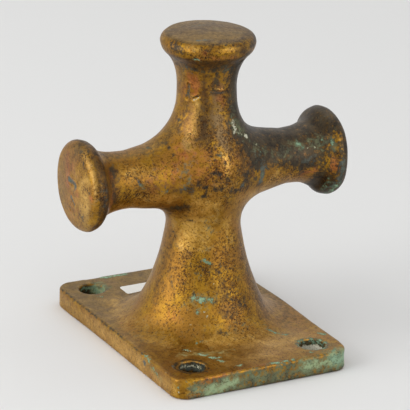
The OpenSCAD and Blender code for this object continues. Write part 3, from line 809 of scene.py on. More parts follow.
coat(skin, "tarnish", wet_rope_side)
strike(skin, [
    ((0.4, -29.5, 112.6), (0.5, -29.5, 111.8), 2.6, 0.35, 0.12),
    ((-9, -28.0, 117.6), (-5, -28.5, 117.4), 1.3, 0.25, 0.05),
    ((-12.9, -26.0, 104.2), (-12.9, -25.6, 102.6), 1.2, 0.25, 0.05),
    ((-16.7, -7.9, 169.0), (-16.8, -6.8, 159.8), 1.0, 0.8, 0.35),
    ((-15.0, -10.1, 160.1), (-12.2, -13.4, 162.6), 0.8, 0.45, 0.25),
    ((-6.4, -17.2, 166.4), (1.4, -18.2, 165.2), 0.8, 0.35, 0.35),
])
weather(skin, {
    # Olive along the top of the left arm is painted shade, darkening its upper side.
    "olive": [
        ((-16, -10, 158), (-19, -14, 140), 9, 0.3), ((-24, -3, 142), (-44, -3, 130), 12, 0.7),
        ((-46, -6, 130), (-74, -4, 129), 12, 0.6), ((-36, -17, 119), (-60, -14, 119), 8, 0.5),
        ((26, -2, 136), (60, 0, 128), 12, 0.5),
    ],
    # The tan strips down the neck and hub lie along the lamp highlights and paint their paler colour.
    "tan": [
        ((-15, -12, 158), (-19.5, -16, 133), 8, 0.9), ((-2, -18.6, 170), (-3, -18.9, 150), 7, 0.8),
        ((-3, -18.9, 150), (-1, -23.6, 136), 9, 1.0), ((-1, -23.6, 136), (3, -26, 130), 8, 0.7),
        ((4, -18, 150), (5, -22, 138), 6, 0.7),
    ],
    # The lighter rubbed metal here is partly painted light: painted highlights down the left of the neck,
    # and lighter colour under the hub and the left arm, where shade falls.
    "polish_and_painted_light": [
        ((-14.5, -12.5, 158), (-18.5, -16, 138), 7, 0.75), ((-18, -13, 147), (-19, -17, 132), 7, 0.6),
        ((-1, -28.3, 126), (0, -29, 117), 8, 0.9), ((-48, -12, 98), (-68, -12, 98), 9, 0.8),
        spot(6, -29, 109, 6, 0.6), ((-17, -22, 97), (-6, -24.4, 97), 9, 1.0),
        ((-6, -17.6, 167.6), (1.4, -18.6, 166.6), 1.4, 1.2), ((-45, -16, 119), (-58, -13, 121), 8, 0.3),
        ((-34, -17, 101), (-52, -15.6, 101), 9, 1.0), ((-17, -20, 92), (-8, -23, 93), 6, 0.8),
        ((32, -16.5, 98.4), (42, -19, 107), 8, 0.75), ((10, -21, 96), (26, -17, 97), 8, 0.6),
        ((-5, -28, 110), (4, -28, 104), 7, 0.45),
    ],
    "copper": [
        ((-9.8, -15.4, 172), (-10, -17.4, 145), 5, 0.5), ((-34, -18, 117), (-5, -27, 119), 18, 0.55),
        ((-20, -8, 150), (-14, -20, 134), 12, 0.4), ((6, -26, 122), (18, -24, 117), 10, 0.35),
        ((38, -19, 105), (58, -15, 104), 9, 0.35), ((-46, -18, 115), (-44, -18.5, 109), 7, 0.55),
        ((-26, -17.5, 129), (-23, -20, 126), 7, 0.85), spot(-18.8, -20.4, 129.9, 5.5, 0.65),
        spot(-26.3, -12.4, 133.1, 7, 0.6), ((-30.1, -20.5, 119), (-31, -20, 112), 7, 0.55),
        ((-18, -13, 150), (-17, -17, 134), 7, 0.4), ((-14, -26, 122), (-12, -27, 114), 7, 0.55),
        ((-30, -16, 124), (-10, -24, 130), 10, 0.5), ((8, -26, 126), (14, -26, 117), 6, 0.45),
        ((-19, -5, 168), (-24, -2, 146), 9, 0.55), ((-44, -19, 110), (-36, -20, 111), 6, 0.45),
        spot(59.2, -16.6, 116.9, 4.4, 1.2), ((-16.1, -10.3, 175), (-14, -12.5, 166), 6, 0.9),
        ((-4, -18.8, 172), (2, -18.6, 158), 6, 0.6), ((-15, -9, 160), (-15.5, -10, 146), 6, 0.4),
        ((18, -24, 124), (20, -24, 112), 6, 0.6),
    ],
    # The brown along the top of the left arm is painted shade, like the olive under it.
    "brown": [
        ((-12, 16, 160), (-14, 20, 130), 10, 0.7), ((-8, 25, 118), (-34, 17, 114), 9, 0.6),
        ((-50, 17, 108), (-68, 17, 112), 8, 0.5), ((-9.8, -15.4, 176), (-9.0, -15.8, 157), 6.5, 0.8),
        ((-9, -15.8, 157), (-10.2, -17.4, 145), 7.5, 0.95),
        ((-10.2, -17.4, 145), (-12.1, -20.2, 136), 8.5, 1.0), ((-12.1, -20.2, 136), (-9, -24, 130), 7, 0.6),
        ((-17, -6, 156), (-20.5, -7, 140), 8, 0.75), ((5, -20, 147), (6.5, -24, 133), 5, 0.6),
        ((-52, -17.5, 113), (-34, -20, 110), 7, 0.5), ((-7.5, -20, 147), (-6.5, -22.5, 137), 5, 0.55),
        ((10.5, -24.6, 129), (13, -26.4, 119), 7, 0.85), ((17, -26, 122), (19, -24, 106), 8, 0.75),
        ((8, -20, 142), (14, -22, 131), 7, 0.8), ((-2, -29, 116), (8, -29, 106), 10, 0.1),
        ((-31, -21.5, 107.5), (-21, -24, 108), 6, 0.8), ((-29, -11.5, 92.4), (-22, -18.5, 95.6), 6, 1.0),
        ((-24, -9, 90), (-19, -14, 88), 5, 0.6), ((6, -17.5, 176), (6, -18, 150), 7, 0.75),
        ((-21, -2, 150), (-34, -5, 133), 8, 0.75), ((-18, -2, 172), (-20, -2, 152), 6, 0.5),
        ((-38, -5, 134), (-70, -4, 130), 9, 0.6), ((-17, -26, 111), (-13, -27, 116), 5, 0.5),
        ((-69.5, -14, 124), (-71.8, -19.6, 116), 7, 1.0), ((-71.8, -19.6, 116), (-71, -18, 106), 6, 1.0),
        ((26, -20, 116), (27, -20, 104), 7, 0.85), ((44, -17, 112), (66, -17, 110), 6, 0.8),
        ((36, -20, 113), (44, -18, 112), 4, 0.5), ((66, -17.5, 111), (74, -20, 104), 5, 0.6),
    ],
    "pits": [
        ((-6, -28, 120), (2, -29, 104), 14, 1.15), ((-14, -25, 112), (-12, -24, 103), 8, 1.0),
        ((3, -22, 142), (4, -27, 126), 9, 1.15), ((-48, -16, 106), (-66, -16, 106), 10, 1.1),
        ((36, -18, 104), (60, -15, 104), 8, 1.0), ((-20, -16, 96), (-24, -8, 90), 8, 0.9),
        ((-12, -17, 150), (-16, -18, 136), 8, 0.8), ((-8, -20, 142), (-8, -24, 128), 8, 1.15),
        ((-30, -18, 120), (-60, -14, 120), 9, 0.7), ((20, 18, 110), (-20, 18, 110), 16, 1.0),
        ((4, -17, 168), (4, -18, 150), 8, 0.9), ((10, -27, 118), (16, -26, 106), 9, 1.0),
        ((8, -23, 134), (14, -24, 124), 7, 0.9),
    ],
    "tarnish": [
        ((-7, 18, 152), (4, 21, 134), 9, 0.85), spot(-13, 19, 140, 6, 0.75),
        ((2, 26, 120), (-12, 25, 108), 9, 0.8), spot(12, 24, 99, 7, 0.85),
        ((-30, 18, 112), (-24, 20, 106), 5, 0.75), spot(-4, 18, 166, 5, 0.7),
        ((12, -14, 178), (11.5, -15, 158), 6.5, 0.95), ((11.5, -15, 158), (13, -16, 147), 8, 1.1),
        ((7, -20, 143), (17, -21.5, 128), 7.5, 1.0), ((14, -17, 144), (23, -18, 129), 8.5, 1.15),
        ((17, -5, 160), (24, 0, 138), 14, 1.0), ((23, -20, 128), (30, -19, 118), 8, 1.05),
        ((16, -21, 130), (22, -23, 120), 4.5, 0.5), ((18.5, -23.5, 121), (22, -22.5, 110), 5, 0.75),
        spot(0.4, -29.5, 112.2, 4.6, 0.85), ((-9.6, -27.8, 117.5), (-5, -28.6, 117.4), 2.9, 1.0),
        spot(-6.6, -28.5, 113.3, 2.8, 0.95), spot(-13, -26.6, 108.7, 2.8, 0.95),
        spot(-12.3, -26.4, 106.4, 2.0, 0.9), ((-9, -27.4, 107.2), (-6, -28, 106.6), 2.8, 0.95),
        spot(-3.2, -28.6, 107.2, 2.6, 1.0), spot(-12.9, -25.6, 103.2, 2.8, 1.1),
        spot(-17, -25.7, 110.9, 3.6, 0.75), spot(-1.4, -28.4, 122.7, 2.4, 0.8),
        spot(-10.7, -26.7, 121.8, 2.6, 0.7), spot(5.3, -25.7, 129.5, 2.2, 0.7),
        spot(8.3, -28, 116.7, 4.0, 0.7), ((15, -26.2, 115), (14.8, -26.3, 110), 4.6, 0.85),
        ((12.6, -26.3, 107.6), (12, -26.2, 104.4), 3.6, 0.95),
        ((8.6, -27.2, 105), (3.6, -28, 103.8), 3.6, 0.8), ((17, -25.6, 118), (16, -26, 115), 4, 0.5),
        spot(-20.1, -3.7, 146.1, 3.0, 0.8), spot(-30.6, -10.3, 131.8, 2.2, 0.8),
        spot(-29.6, -15.1, 128.4, 2.2, 0.8), ((-29, -12, 92.6), (-23, -18.2, 96.2), 3.4, 0.85),
        ((-27, -22, 108), (-22, -23.8, 108), 3.4, 0.5),
        ((-6.4, -17.4, 165.6), (1.2, -18.3, 164.4), 1.3, 0.9),
        ((-4, -18.5, 176), (-3.5, -18.4, 166), 4.5, 0.45),
        ((-14.8, -10.6, 161.4), (-12.2, -13.6, 163.4), 1.2, 0.9),
    ],
    "sage": [
        ((-21.2, -21.3, 125.7), (-25.2, -21.3, 121.8), 5.5, 0.5),
        ((-25.2, -21.6, 121), (-24.5, -23, 114), 6.5, 0.55), spot(-4.1, -26.1, 129, 6, 0.55),
        spot(-41.9, -2.6, 130.6, 3.4, 0.8), ((24, -20, 127), (32, -18, 124), 7, 0.5),
        ((10, -17, 146), (16, -17, 136), 7, 0.7), ((57, -12.6, 124.4), (59, -14.4, 121.4), 3.6, 1.1),
        ((40, -17, 119), (52, -14, 121), 8, 0.4), ((66, -14, 125), (74, -17, 121), 8, 0.55),
        ((-51.9, -17.4, 112.6), (-50.8, -18.0, 111.2), 2.2, 0.9), ((10, -14, 160), (10, -15, 150), 5, 0.4),
    ],
    "slate": [
        ((-16.8, -7.9, 168.6), (-16.7, -7.0, 160.2), 1.7, 1.3),
        ((28.6, -22, 113), (27.4, -21.6, 105), 3.6, 1.1), ((24, -20.5, 124), (30, -20.5, 115), 7, 0.4),
        spot(12.4, -26.3, 106, 3.0, 0.7), spot(8.3, -28, 117.3, 2.6, 0.4),
        ((-26, -22, 109), (-20, -24, 107), 4, 0.3),
        ((-54.8, -16.6, 117.5), (-52.8, -17.4, 113.8), 1.6, 0.9), spot(-4.1, -26.1, 129, 4, 0.25),
        spot(-36.3, -19.9, 107.9, 4, 0.7),
    ],
    "bloom": [((10, -18, 143), (16, -18, 136), 5, 0.35), ((28.6, -22, 112), (27.8, -21.8, 107), 2.6, 0.5)],
    "verdigris": [
        spot(-36.3, -19.9, 107.9, 2.8, 0.85), spot(-32, -20.6, 107.5, 2.2, 0.45),
        spot(23, -20.5, 128, 2.2, 0.55), spot(28, -19.5, 124, 2.0, 0.5),
        ((10, -18, 146), (9, -20, 138), 2.4, 0.5), spot(26, -21, 121, 1.8, 0.5),
        ((57.6, -12.2, 124.2), (58.6, -14.2, 121.6), 2.2, 0.8), spot(24, -19, 125, 1.8, 0.55),
        ((-20, 22, 120), (-12, 24, 112), 4, 0.7), spot(34, 18, 104, 4, 0.7), spot(21, -19, 132, 1.6, 0.5),
    ],
    "chalk": [
        ((8.4, -18.6, 145), (10.3, -19, 141), 3.4, 0.95), spot(9, -20.2, 139.6, 3.0, 1.0),
        ((10.5, -19.6, 138.6), (14.7, -18.9, 136.8), 1.6, 0.8), spot(14, -17.4, 140, 4, 0.55),
        spot(18.4, -17.6, 134.6, 2.7, 1.6), spot(17, -18.4, 134.8, 1.4, 1.2),
        spot(14.3, -21.1, 132.9, 1.3, 0.9), spot(18.5, -21.1, 128.8, 1.1, 0.8),
        spot(26.3, -17.1, 128.3, 1.9, 0.8), spot(31, -15.5, 128, 1.1, 0.7),
        ((-14.4, -10.6, 160.0), (-12.2, -13.3, 162.0), 1.1, 1.0), spot(-51.4, -17.8, 112, 1.1, 0.8),
        spot(-33.1, -19.9, 118, 0.9, 0.7), spot(68.2, -16.6, 120.4, 1.2, 1.0),
        spot(63.4, -15.7, 120, 1.3, 0.8), spot(64.8, -16, 118.5, 1.0, 0.7),
        ((22, -22, 123), (30, -19, 120), 6, 0.35), spot(36, -19.5, 114, 1.0, 0.7),
        spot(28, -18, 125.5, 1.0, 0.8), spot(33, -17, 123, 1.0, 0.7), spot(-36.8, -19.9, 108.2, 1.0, 0.6),
    ],
})
hub = split_off(
    [((hub_x, 0, 0), (1, 0, 0)), ((-hub_x, 0, 0), (1, 0, 0)), ((0, 0, hub_top_z), (0, 0, 1))],
    lambda at: abs(at.x) < hub_x and at.z < hub_top_z,
)
cap(hub, lambda at: abs(at.z - hub_low_z) < 1e-4)
cap(hub, lambda at: abs(at.z - hub_top_z) < 1e-4)
cap(hub, lambda at: abs(at.x - hub_x) < 1e-4)
cap(hub, lambda at: abs(at.x + hub_x) < 1e-4)
finish_bronze(hub, "hub")

# The neck: the slim top of the post, where turns of rope were held against the mushroom head. Under
# the head it is brown to nearly black, with a little verdigris in the crease. The brown band all round
# under the rim is partly patina and partly painted shade, as the cove there turns away from the light.
joint_top_z = 185.9


# Painted shade over patina: a brown band all round the cove under the head's rim.
def shade_and_patina_under_head(at):
    rise = np.clip((at[:, 2] - 176.5) / 4, 0, 1) * np.clip((189.5 - at[:, 2]) / 1.5, 0, 1)
    return rise * 0.75


coat(skin, "brown", shade_and_patina_under_head)
strike(skin, [
    ((-19.6, -21.4, 189.2), (-18.6, -21.4, 187.8), 1.1, 0.4, 0.2),
    ((10.5, -22.5, 184.0), (14.0, -19.5, 185.5), 0.7, 0.3, 0.2),
    ((12.0, -19.0, 181.5), (13.0, -19.5, 184.0), 0.7, 0.3, 0.2),
])
weather(skin, {
    "olive": [((-20, -6, 184), (-18, -2, 172), 6, 0.6)],
    "copper": [((2, -20, 178), (6, -18.5, 172), 5, 0.4), ((-17, -12, 176), (-15, -13, 172), 5, 0.7)],
    "brown": [
        ((-14.6, -18.4, 184.5), (8.3, -21, 182.5), 6, 0.95), ((7, -18.6, 180), (10, -15, 160), 8, 0.95),
        ((-3, -20, 178), (-5, -18, 168), 6, 0.75), spot(-13, -16, 181, 6, 0.7),
    ],
    "tarnish": [
        ((-15.7, -14.3, 180.6), (-6, -19, 181), 5, 0.75), ((7.2, -25.6, 186.6), (13, -25, 188), 2.6, 0.9),
        ((-6, -20, 182), (8, -20, 181), 7, 0.8), ((-4, -19, 178), (-4, -18.4, 168), 5, 0.6),
        ((4, -18.6, 179), (7, -17.6, 171), 6, 0.85), ((7, -18, 178), (9, -16, 164), 6, 0.8),
        ((14, -12, 182), (16, -6, 160), 9, 0.95), ((17, 4, 184), (17, 6, 160), 12, 0.8),
        spot(-19.4, -21, 189.6, 2.0, 0.8), ((10, -20, 184), (13, -14, 176), 6, 0.7),
        ((-12, -19, 184), (2, -22, 183), 4, 0.5),
    ],
    "sage": [spot(-2, -21.6, 180.7, 5, 0.5), spot(3, -20.5, 179.5, 4, 0.5), spot(-14, -16.5, 181, 5, 0.4)],
    "slate": [spot(-19.2, -9.3, 180, 8, 0.5), ((0, -21.5, 181), (6, -20.5, 180.5), 3.5, 0.4)],
    "verdigris": [
        ((-19.4, -20.9, 188.6), (-17.5, -21.9, 187.7), 2.6, 0.75), spot(-1.9, -21.4, 180.4, 2.4, 0.7),
        spot(3, -20.6, 181, 1.5, 0.5),
    ],
    "chalk": [
        spot(10.8, -17, 177.2, 1.1, 0.8), spot(6.6, -18.8, 176, 1.1, 0.7),
        spot(-18.6, -21.6, 188.2, 0.9, 0.9), ((9.4, -21.6, 182.6), (13, -18.4, 183.6), 0.8, 0.5),
    ],
})
neck = split_off(
    [((0, 0, joint_top_z), (0, 0, 1))],
    lambda at: hub_top_z < at.z < joint_top_z and abs(at.x) < 40,
)
cap(neck, lambda at: abs(at.z - hub_top_z) < 1e-4)
cap(neck, lambda at: abs(at.z - joint_top_z) < 1e-4)
finish_bronze(neck, "neck")

# The top head: a mushroom, cast in one with the neck, that keeps the rope from slipping off. Its crown
# is dulled to a matt olive brown, its rim is worn bright in front, with two painted highlights where the
# soft boxes glint, and a few dark nicks mark its edge.


def crown_film(at):
    away = np.hypot(at[:, 0], at[:, 1])
    return np.clip((27.2 - away) / 1.2, 0, 1) * np.clip((at[:, 2] - 190) / 2, 0, 1)


def worn_rim(at):
    away = np.hypot(at[:, 0], at[:, 1])
    return np.clip((away - 26.4) / 1.2, 0, 1) * np.clip((at[:, 2] - 191) / 2.5, 0, 1) * 0.1


coat(skin, "olive", crown_film)
coat(skin, "polish_and_painted_light", worn_rim)
weather(skin, {
    "pits": [((-14, -25, 192), (20, -20, 192), 9, 1.0), ((-26, -10, 192), (-20, -20, 192), 6, 0.9)],
    "brown": [
        ((-18, -18, 198.2), (8, -24, 198.4), 4, 0.6), ((8, -24, 198.4), (25, -8, 198.4), 5, 0.7),
        ((8, -27.5, 193), (28, -8, 195), 8, 1.1), ((26, -12, 195), (29, 6, 195), 8, 0.9),
        ((-16, -24, 195), (4, -28, 193), 6, 0.4), ((6, -27.5, 194), (20, -21, 194), 7, 0.7),
        ((-27.5, -9, 194.5), (-24, -14, 193), 4, 0.8), ((-24, -11, 197.6), (-12, -23.4, 197.8), 2.6, 0.7),
        ((-12, -23.4, 197.8), (10, -24.6, 197.8), 2.8, 0.8), ((-16, 4, 199.4), (14, 2, 199.6), 34, 0.6),
        ((10, 4, 199.6), (22, -8, 199), 16, 0.7),
    ],
    "copper": [
        spot(-15, -25, 193.6, 3, 0.8), spot(-17.5, -22.4, 189, 4, 0.7),
        ((-10, -27, 190), (10, -27, 190), 4, 0.6),
    ],
    "tarnish": [
        spot(-24.4, -12.1, 196.6, 1.6, 0.9), spot(-26.8, -11.6, 193.3, 2.6, 0.8),
        ((-28, -7, 195), (-25.5, -13, 193), 5, 0.8), spot(-16.4, -22.4, 196.1, 2.4, 0.8),
        ((-14.8, -24.9, 195.2), (-13, -25.9, 193.8), 1.2, 1.0), spot(-9.7, -24.3, 197.4, 1.3, 1.0),
        spot(-2.7, -26.4, 197.1, 1.4, 1.0), spot(2.3, -27, 196.7, 1.3, 1.0),
        ((14, -24, 189), (27, -6, 190), 5, 0.95), ((17, -23.6, 193.5), (27, -10, 193.5), 4.5, 0.75),
        ((-10, -23.5, 197.4), (12, -24.5, 197.4), 2.2, 0.45), spot(-20.5, -21.5, 191, 1.5, 0.8),
    ],
    "slate": [
        ((-15.7, -15.8, 198.5), (-7, -18.4, 198.8), 1.8, 1.0), ((-5, 9, 199.8), (2, 8, 199.8), 4, 0.45),
        spot(-9, 1, 199.8, 5, 0.3),
    ],
    # Two painted highlights on the front of the rim, where the left and right soft boxes glint, over rubbed
    # metal.
    "polish_and_painted_light": [
        ((-22.4, -17, 195.4), (-17.5, -22, 195.2), 3.4, 0.6),
        ((-4, -28.2, 195), (8, -27.6, 194.6), 3.4, 0.65),
    ],
    "sage": [spot(4.7, -1.5, 199.9, 4, 0.5), spot(14, -12, 199, 5, 0.35)],
    "chalk": [spot(3.2, -1.5, 199.9, 0.8, 0.6)],
})
top_head = split_off([], lambda at: at.z > joint_top_z)
cap(top_head, lambda at: True)
finish_bronze(top_head, "top_head")

# The left arm: from the hub out to the crease behind its head. Rope has rubbed it to a golden brown,
# and it has a gouge in front and small pits along its underside.
joint_side_x = 75.9
strike(skin, [
    ((-54.8, -16.6, 117.5), (-52.8, -17.4, 113.8), 0.9, 0.5, 0.2),
    ((-51.6, -17.6, 112.4), (-51.0, -17.8, 111.4), 0.9, 0.4, 0.2),
])
weather(skin, {
    "polish_and_painted_light": [((-50, -15, 122), (-66, -13, 121), 7, 0.45)],
    "copper": [((-71.9, -17, 122), (-73.4, -20.5, 104), 5.5, 0.9), spot(-52, -17, 116, 5.4, 0.3)],
    "tarnish": [
        ((-70.5, -15, 124), (-72, -18, 110), 4.0, 0.8), spot(-60.5, -11, 126, 1.1, 0.7),
        spot(-47, -17, 103, 1.3, 0.8), spot(-54, -16, 102.5, 1.3, 0.8), spot(-66, -14, 101, 1.4, 0.7),
        spot(-59.5, -13, 125, 1.0, 0.9),
    ],
})
left_arm = split_off([((-joint_side_x, 0, 0), (1, 0, 0))], lambda at: -joint_side_x < at.x < 0)
cap(left_arm, lambda at: abs(at.x + hub_x) < 1e-4)
cap(left_arm, lambda at: abs(at.x + joint_side_x) < 1e-4)
finish_bronze(left_arm, "left_arm")

# The left head: a mushroom like the top one, but facing sideways. Its face is golden, with a few dents
# and a worn bright shoulder that also carries a painted highlight, and the rim behind is brown.


def left_rim(at):
    away = np.hypot(at[:, 1], at[:, 2] - arm_z)
    return np.clip((away - 24.0) / 2, 0, 1) * np.clip((at[:, 0] + 85.8) / 1.4, 0, 1) * (at[:, 0] < 0) * 0.75


# Painted highlight along the shoulder ridge, over rubbed metal: strongest in front and towards the top.
def shoulder_wear_and_highlight(at):
    away = np.hypot(at[:, 1], at[:, 2] - arm_z)
    across = np.clip(1 - np.abs(away - 26.2) / 4, 0, 1) * np.clip((-83.4 - at[:, 0]) / 1.4, 0, 1)
    return across * np.where(at[:, 1] < 0, 0.45, 0.15) * (0.3 + 0.7 * np.clip((at[:, 2] - 106) / 10, 0, 1))


coat(skin, "brown", left_rim)
coat(skin, "polish_and_painted_light", shoulder_wear_and_highlight)
# The tan laid over the shoulder gives its painted highlight a paler colour.
coat(skin, "tan", lambda at: shoulder_wear_and_highlight(at) * 1.4)
strike(skin, [
    ((-90, 3.6, 115.3), (-90, -3.8, 113.9), 1.9, 0.6, 0.2),
    ((-90, 1.0, 105), (-90, -2.8, 101), 1.2, 0.4, 0.15),
    ((-89.4, 3.2, 97.8), (-89.4, 2.0, 96.4), 1.1, 0.35, 0.15),
])
weather(skin, {
    "olive": [
        ((-89, 14, 120), (-89, 16, 100), 12, 0.5), spot(-86, -3, 138, 11, 0.9),
        ((-89.4, 4, 130), (-89.8, 8, 108), 13, 0.7), ((-88.8, -17, 102), (-88, -15, 95), 8, 0.7),
    ],
    "brown": [
        spot(-86.5, -4, 137, 11, 0.8), ((-88.5, -16, 100), (-87, -10, 90), 8, 0.4),
        ((-88, 2, 134), (-89.5, 6, 126), 8, 0.4), ((-89, -9, 97), (-88.8, -12, 95), 4, 0.6),
        ((-86, -14, 90), (-86, 4, 87), 6, 0.4),
    ],
    "polish_and_painted_light": [
        ((-89.5, -4, 120), (-89.5, -4, 100), 14, 0.5), ((-89, -14, 118), (-88.5, -15, 98), 11, 0.75),
        ((-87, -20, 98), (-87, -12, 90), 8, 0.4), ((-89.2, -16, 119), (-88.9, -16, 104), 9, 1.1),
    ],
    "copper": [
        ((-89.5, 2, 126), (-89.5, 0, 98), 18, 0.45), ((-89.5, 6, 127), (-89.8, 5, 112), 10, 0.7),
        spot(-89.5, -1.3, 124.4, 6, 0.75), spot(-89.9, -6.6, 109.5, 5.5, 0.9),
        spot(-88, -23.4, 112, 3.6, 1.0), spot(-89, -8, 98, 6, 0.6), ((-89, 6, 126), (-88, 3, 132), 6, 0.5),
        spot(-87, -8, 90, 6, 0.5),
    ],
    "pits": [
        spot(-88.4, -10, 132, 9, 1.0), spot(-88.4, -18, 115, 6, 0.8),
        ((-82, -25, 118), (-80, -26, 104), 7, 1.2),
    ],
    "tarnish": [
        spot(-88.4, -12.8, 130.5, 1.7, 1.1), spot(-86.8, -2.4, 137.7, 2.0, 0.8),
        spot(-87.7, -7.1, 135.5, 3.0, 0.7), spot(-88.5, -21.7, 114.6, 1.4, 1.0),
        spot(-80.8, -14.4, 135.6, 2.4, 1.0), spot(-84.7, -11, 137, 1.5, 1.0),
        spot(-88.8, -13.2, 97.2, 4.5, 0.4), ((-78.5, -26, 100), (-78.5, -20, 92), 5, 0.7),
        spot(-79, 2, 139, 8, 0.4),
    ],
    "slate": [
        ((-90, 3.9, 115.5), (-90, -4.2, 113.9), 3.2, 1.1),
        ((-90, 1.2, 105.4), (-90, -3.2, 100.4), 2.2, 0.9), spot(-89.4, 3, 97.2, 2.2, 0.9),
        spot(-88.8, -13.2, 97.2, 4, 0.45), ((-80.4, -27, 118), (-80.2, -27.5, 104), 4, 0.45),
    ],
    "verdigris": [spot(-90, 3.6, 115.5, 1.8, 0.7), spot(-90, -1.2, 102, 1.6, 0.5)],
    "chalk": [
        spot(-89.6, -2, 120.5, 1.2, 0.5), spot(-88.8, -7.8, 119.5, 1.2, 0.6),
        spot(-89.2, -8.4, 117.4, 1.1, 0.6), spot(-89.8, -4.6, 107.5, 1.1, 0.6),
        spot(-89.2, -14.2, 107.5, 1.0, 0.7), spot(-89.3, 3.6, 96.6, 1.1, 0.5),
        spot(-86.2, -23.6, 121.5, 1.1, 0.5),
    ],
})
left_head = split_off([], lambda at: at.x < 0)
cap(left_head, lambda at: True)
finish_bronze(left_head, "left_head")

# The right arm: from the hub out to the crease behind its head. Wet rope has left it nearly black, with
# green in it, and it is golden only underneath.
weather(skin, {
    "polish_and_painted_light": [((45, -18, 103), (60, -15, 100), 7, 0.55)],
    "copper": [((60, -16, 104), (70, -18.4, 106), 5, 0.8), spot(68.9, -18.4, 106.9, 4, 0.9)],
    "tarnish": [
        ((60, -17, 112), (68, -17.5, 111), 4, 0.6), ((66, 14, 112), (50, 14, 112), 14, 0.9),
        ((73, -19, 103), (74, -14, 96), 4, 0.8),
    ],
    "slate": [((60, -17, 112), (66, -17, 113), 5, 0.5)],
    "sage": [((66, -16, 121), (72, -18, 118), 4, 0.5)],
    "verdigris": [((57.7, -13, 123.1), (60, -14, 121), 2.2, 0.9), spot(72.9, -16.2, 123.9, 1.6, 0.9)],
})
right_arm = split_off([((joint_side_x, 0, 0), (1, 0, 0))], lambda at: at.x < joint_side_x)
cap(right_arm, lambda at: abs(at.x - hub_x) < 1e-4)
cap(right_arm, lambda at: abs(at.x - joint_side_x) < 1e-4)
finish_bronze(right_arm, "right_arm")

# The right head: a mushroom like the left one, facing away. It is the darkest part, brown-black, and
# green along its lower rim.
weather(skin, {
    "copper": [spot(76.8, -25, 110, 9, 1.1)],
    "tarnish": [
        spot(78, -25, 118, 7, 0.3), ((85, -27, 126), (86, -28, 98), 6, 1.1),
        ((87.5, -23, 128), (88, -25, 96), 6, 1.1),
    ],
    "sage": [
        spot(76.2, -19.8, 98.4, 7, 0.7), ((77, -21.3, 125.6), (77.5, -23, 120), 3.4, 1.0),
        ((74, -14, 128), (76, -19, 112), 4, 0.5),
    ],
    "slate": [
        ((82, -28, 112), (82.5, -24, 98), 4, 0.8), spot(80, -10, 136, 6, 0.3),
        ((76, -8, 92), (80, -22, 96), 7, 0.7),
    ],
    "bloom": [((80, -18, 90), (83.4, -23, 95), 5, 0.5), ((76, -12.2, 91.9), (76.5, -19.8, 98.4), 6, 0.5)],
    "verdigris": [
        spot(76.2, -19.8, 98.8, 4.0, 0.8), ((82, -23.4, 96), (82, -12, 87), 5, 0.75),
        ((76.8, -21.4, 125), (76.8, -22, 122), 2.0, 0.7), ((76, -12.4, 93), (77, -18, 95), 4.5, 0.6),
    ],
    "chalk": [spot(82.8, -27.4, 109, 0.9, 0.7), spot(74.6, -17.2, 122.8, 1.0, 0.7)],
    "polish_and_painted_light": [((81.6, -24, 126.4), (82.4, -26.6, 119), 1.8, 0.9), spot(76, -23.4, 108.4, 5, 0.6)],
})
cap(skin, lambda at: True)
finish_bronze(skin, "right_head")

# The paper label: white, blank, with rounded corners, stuck to the plate behind the foot, where it
# follows the run of the casting.
label_w = 30.0
label_d = 12.5
label_t = 0.2
label_corner_r = 2.0
label_x = -10.5
label_y = 56.92
drop_z = 60.0
glue_t = 0.05

label = bmesh.new()
bmesh.ops.create_grid(label, x_segments=1, y_segments=1, size=0.5)
bmesh.ops.scale(label, verts=label.verts, vec=(label_w, label_d, 1))
bmesh.ops.bevel(
    label, geom=label.verts[:], offset=label_corner_r, affect="VERTICES", segments=5, profile=0.5,
    material=-1,
)
for length, strips, along in ((label_w, 24, Vector((1, 0, 0))), (label_d, 10, Vector((0, 1, 0)))):
    for crease_at in np.linspace(-length / 2, length / 2, strips + 1)[1:-1].tolist():
        all_of_it = label.faces[:] + label.edges[:] + label.verts[:]
        bmesh.ops.bisect_plane(label, geom=all_of_it, plane_co=along * crease_at, plane_no=along)
bmesh.ops.translate(label, verts=label.verts, vec=(label_x, label_y, 0))
for vert in label.verts:
    landed = casting_surface.ray_cast(Vector((vert.co.x, vert.co.y, drop_z)), Vector((0, 0, -1)))[0]
    vert.co.z = landed.z + glue_t
thicken(label, label_t)
bmesh.ops.scale(label, verts=label.verts, vec=(MM, MM, MM))
label_mesh = bpy.data.meshes.new("blank_label")
label.to_mesh(label_mesh)
label.free()

# Uncoated white label stock, which has no gloss.
label_paper = bpy.data.materials.new("matt_label_paper")
label_paper.use_nodes = True
paper_shader = label_paper.node_tree.nodes["Principled BSDF"]
paper_shader.inputs["Base Color"].default_value = linear("#ebeae4")
paper_shader.inputs["Roughness"].default_value = 0.6
label_mesh.materials.append(label_paper)
label_piece = bpy.data.objects.new("blank_label", label_mesh)
bpy.context.scene.collection.objects.link(label_piece)
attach(label_piece, "root")
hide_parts("paper_label")

# The studio: a pale table and a pale backdrop. A large soft box stands at the left, and fainter ones at
# the right and above show only as reflections. Three far lights light the table and lift the shadows.
floor_r = 12.0
floor = bmesh.new()
bmesh.ops.create_circle(floor, cap_ends=True, radius=floor_r, segments=64)
floor_mesh = bpy.data.meshes.new("floor")
floor.to_mesh(floor_mesh)
floor.free()
floor_object = bpy.data.objects.new("floor", floor_mesh)
bpy.context.scene.collection.objects.link(floor_object)
floor_paint = bpy.data.materials.new("pale_studio_floor")
floor_paint.use_nodes = True
floor_shader = floor_paint.node_tree.nodes["Principled BSDF"]
floor_shader.inputs["Base Color"].default_value = linear("#e4e4e3")
floor_shader.inputs["Roughness"].default_value = 0.9
floor_mesh.materials.append(floor_paint)

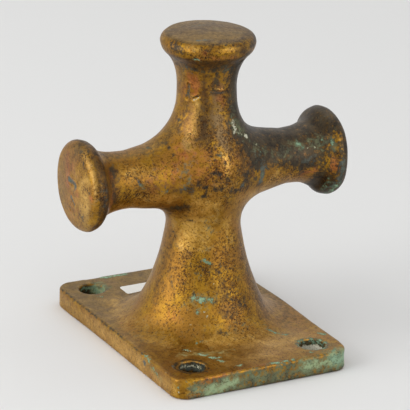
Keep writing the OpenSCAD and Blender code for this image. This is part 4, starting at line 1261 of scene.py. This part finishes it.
world = bpy.data.worlds.new("studio")
bpy.context.scene.world = world
world.use_nodes = True
world_tree = world.node_tree
world_tree.nodes.clear()
rays = add_node(world_tree, "ShaderNodeLightPath", {})
shown = add_node(
    world_tree, "ShaderNodeMath", {0: rays.outputs["Is Camera Ray"], 1: rays.outputs["Is Glossy Ray"]},
    operation="ADD",
)
shown = add_node(
    world_tree, "ShaderNodeMath", {0: shown.outputs[0], 1: rays.outputs["Is Transmission Ray"]},
    operation="ADD", use_clamp=True,
)
sky = add_node(world_tree, "ShaderNodeBackground", {"Color": linear("#ffffff"), "Strength": 0.48})
backdrop = add_node(world_tree, "ShaderNodeBackground", {"Color": linear("#e4e4e4"), "Strength": 1.0})
mixed = add_node(
    world_tree, "ShaderNodeMixShader", {0: shown.outputs[0], 1: sky.outputs[0], 2: backdrop.outputs[0]}
)
add_node(world_tree, "ShaderNodeOutputWorld", {"Surface": mixed.outputs[0]})

# Azimuth and elevation in degrees, distance and size in millimetres, and power in watts.
lamps = {
    "left_softbox": (-93, 15, 2200, 1900, 34.5),
    "right_softbox": (25, 20, 2200, 1700, 20.0),
    "overhead_softbox": (150, 62, 2400, 1600, 8.0),
    "left_table_light": (-90, 50, 6000, 5000, 86.0),
    "front_table_light": (-10, 55, 6000, 5000, 60.0),
    "right_table_light": (90, 60, 6000, 5000, 50.0),
}
for name, (azimuth, elevation, distance, size, power) in lamps.items():
    lamp = bpy.data.lights.new(name, "AREA")
    lamp.shape = "SQUARE"
    lamp.size = size * MM
    lamp.energy = power
    lamp_object = bpy.data.objects.new(name, lamp)
    bpy.context.scene.collection.objects.link(lamp_object)
    turn = Matrix.Rotation(math.radians(azimuth), 4, "Z")
    turn @= Matrix.Rotation(math.radians(90 - elevation), 4, "X")
    away = turn.to_3x3() @ Vector((0, 0, 1))
    lamp_object.visible_glossy = name.endswith("softbox")
    lamp_object.visible_diffuse = name == "left_softbox" or name.endswith("table_light")
    lamp_object.matrix_world = Matrix.Translation((Vector((0, 0, 100)) + away * distance) * MM) @ turn

bpy.context.scene.view_settings.view_transform = "Standard"
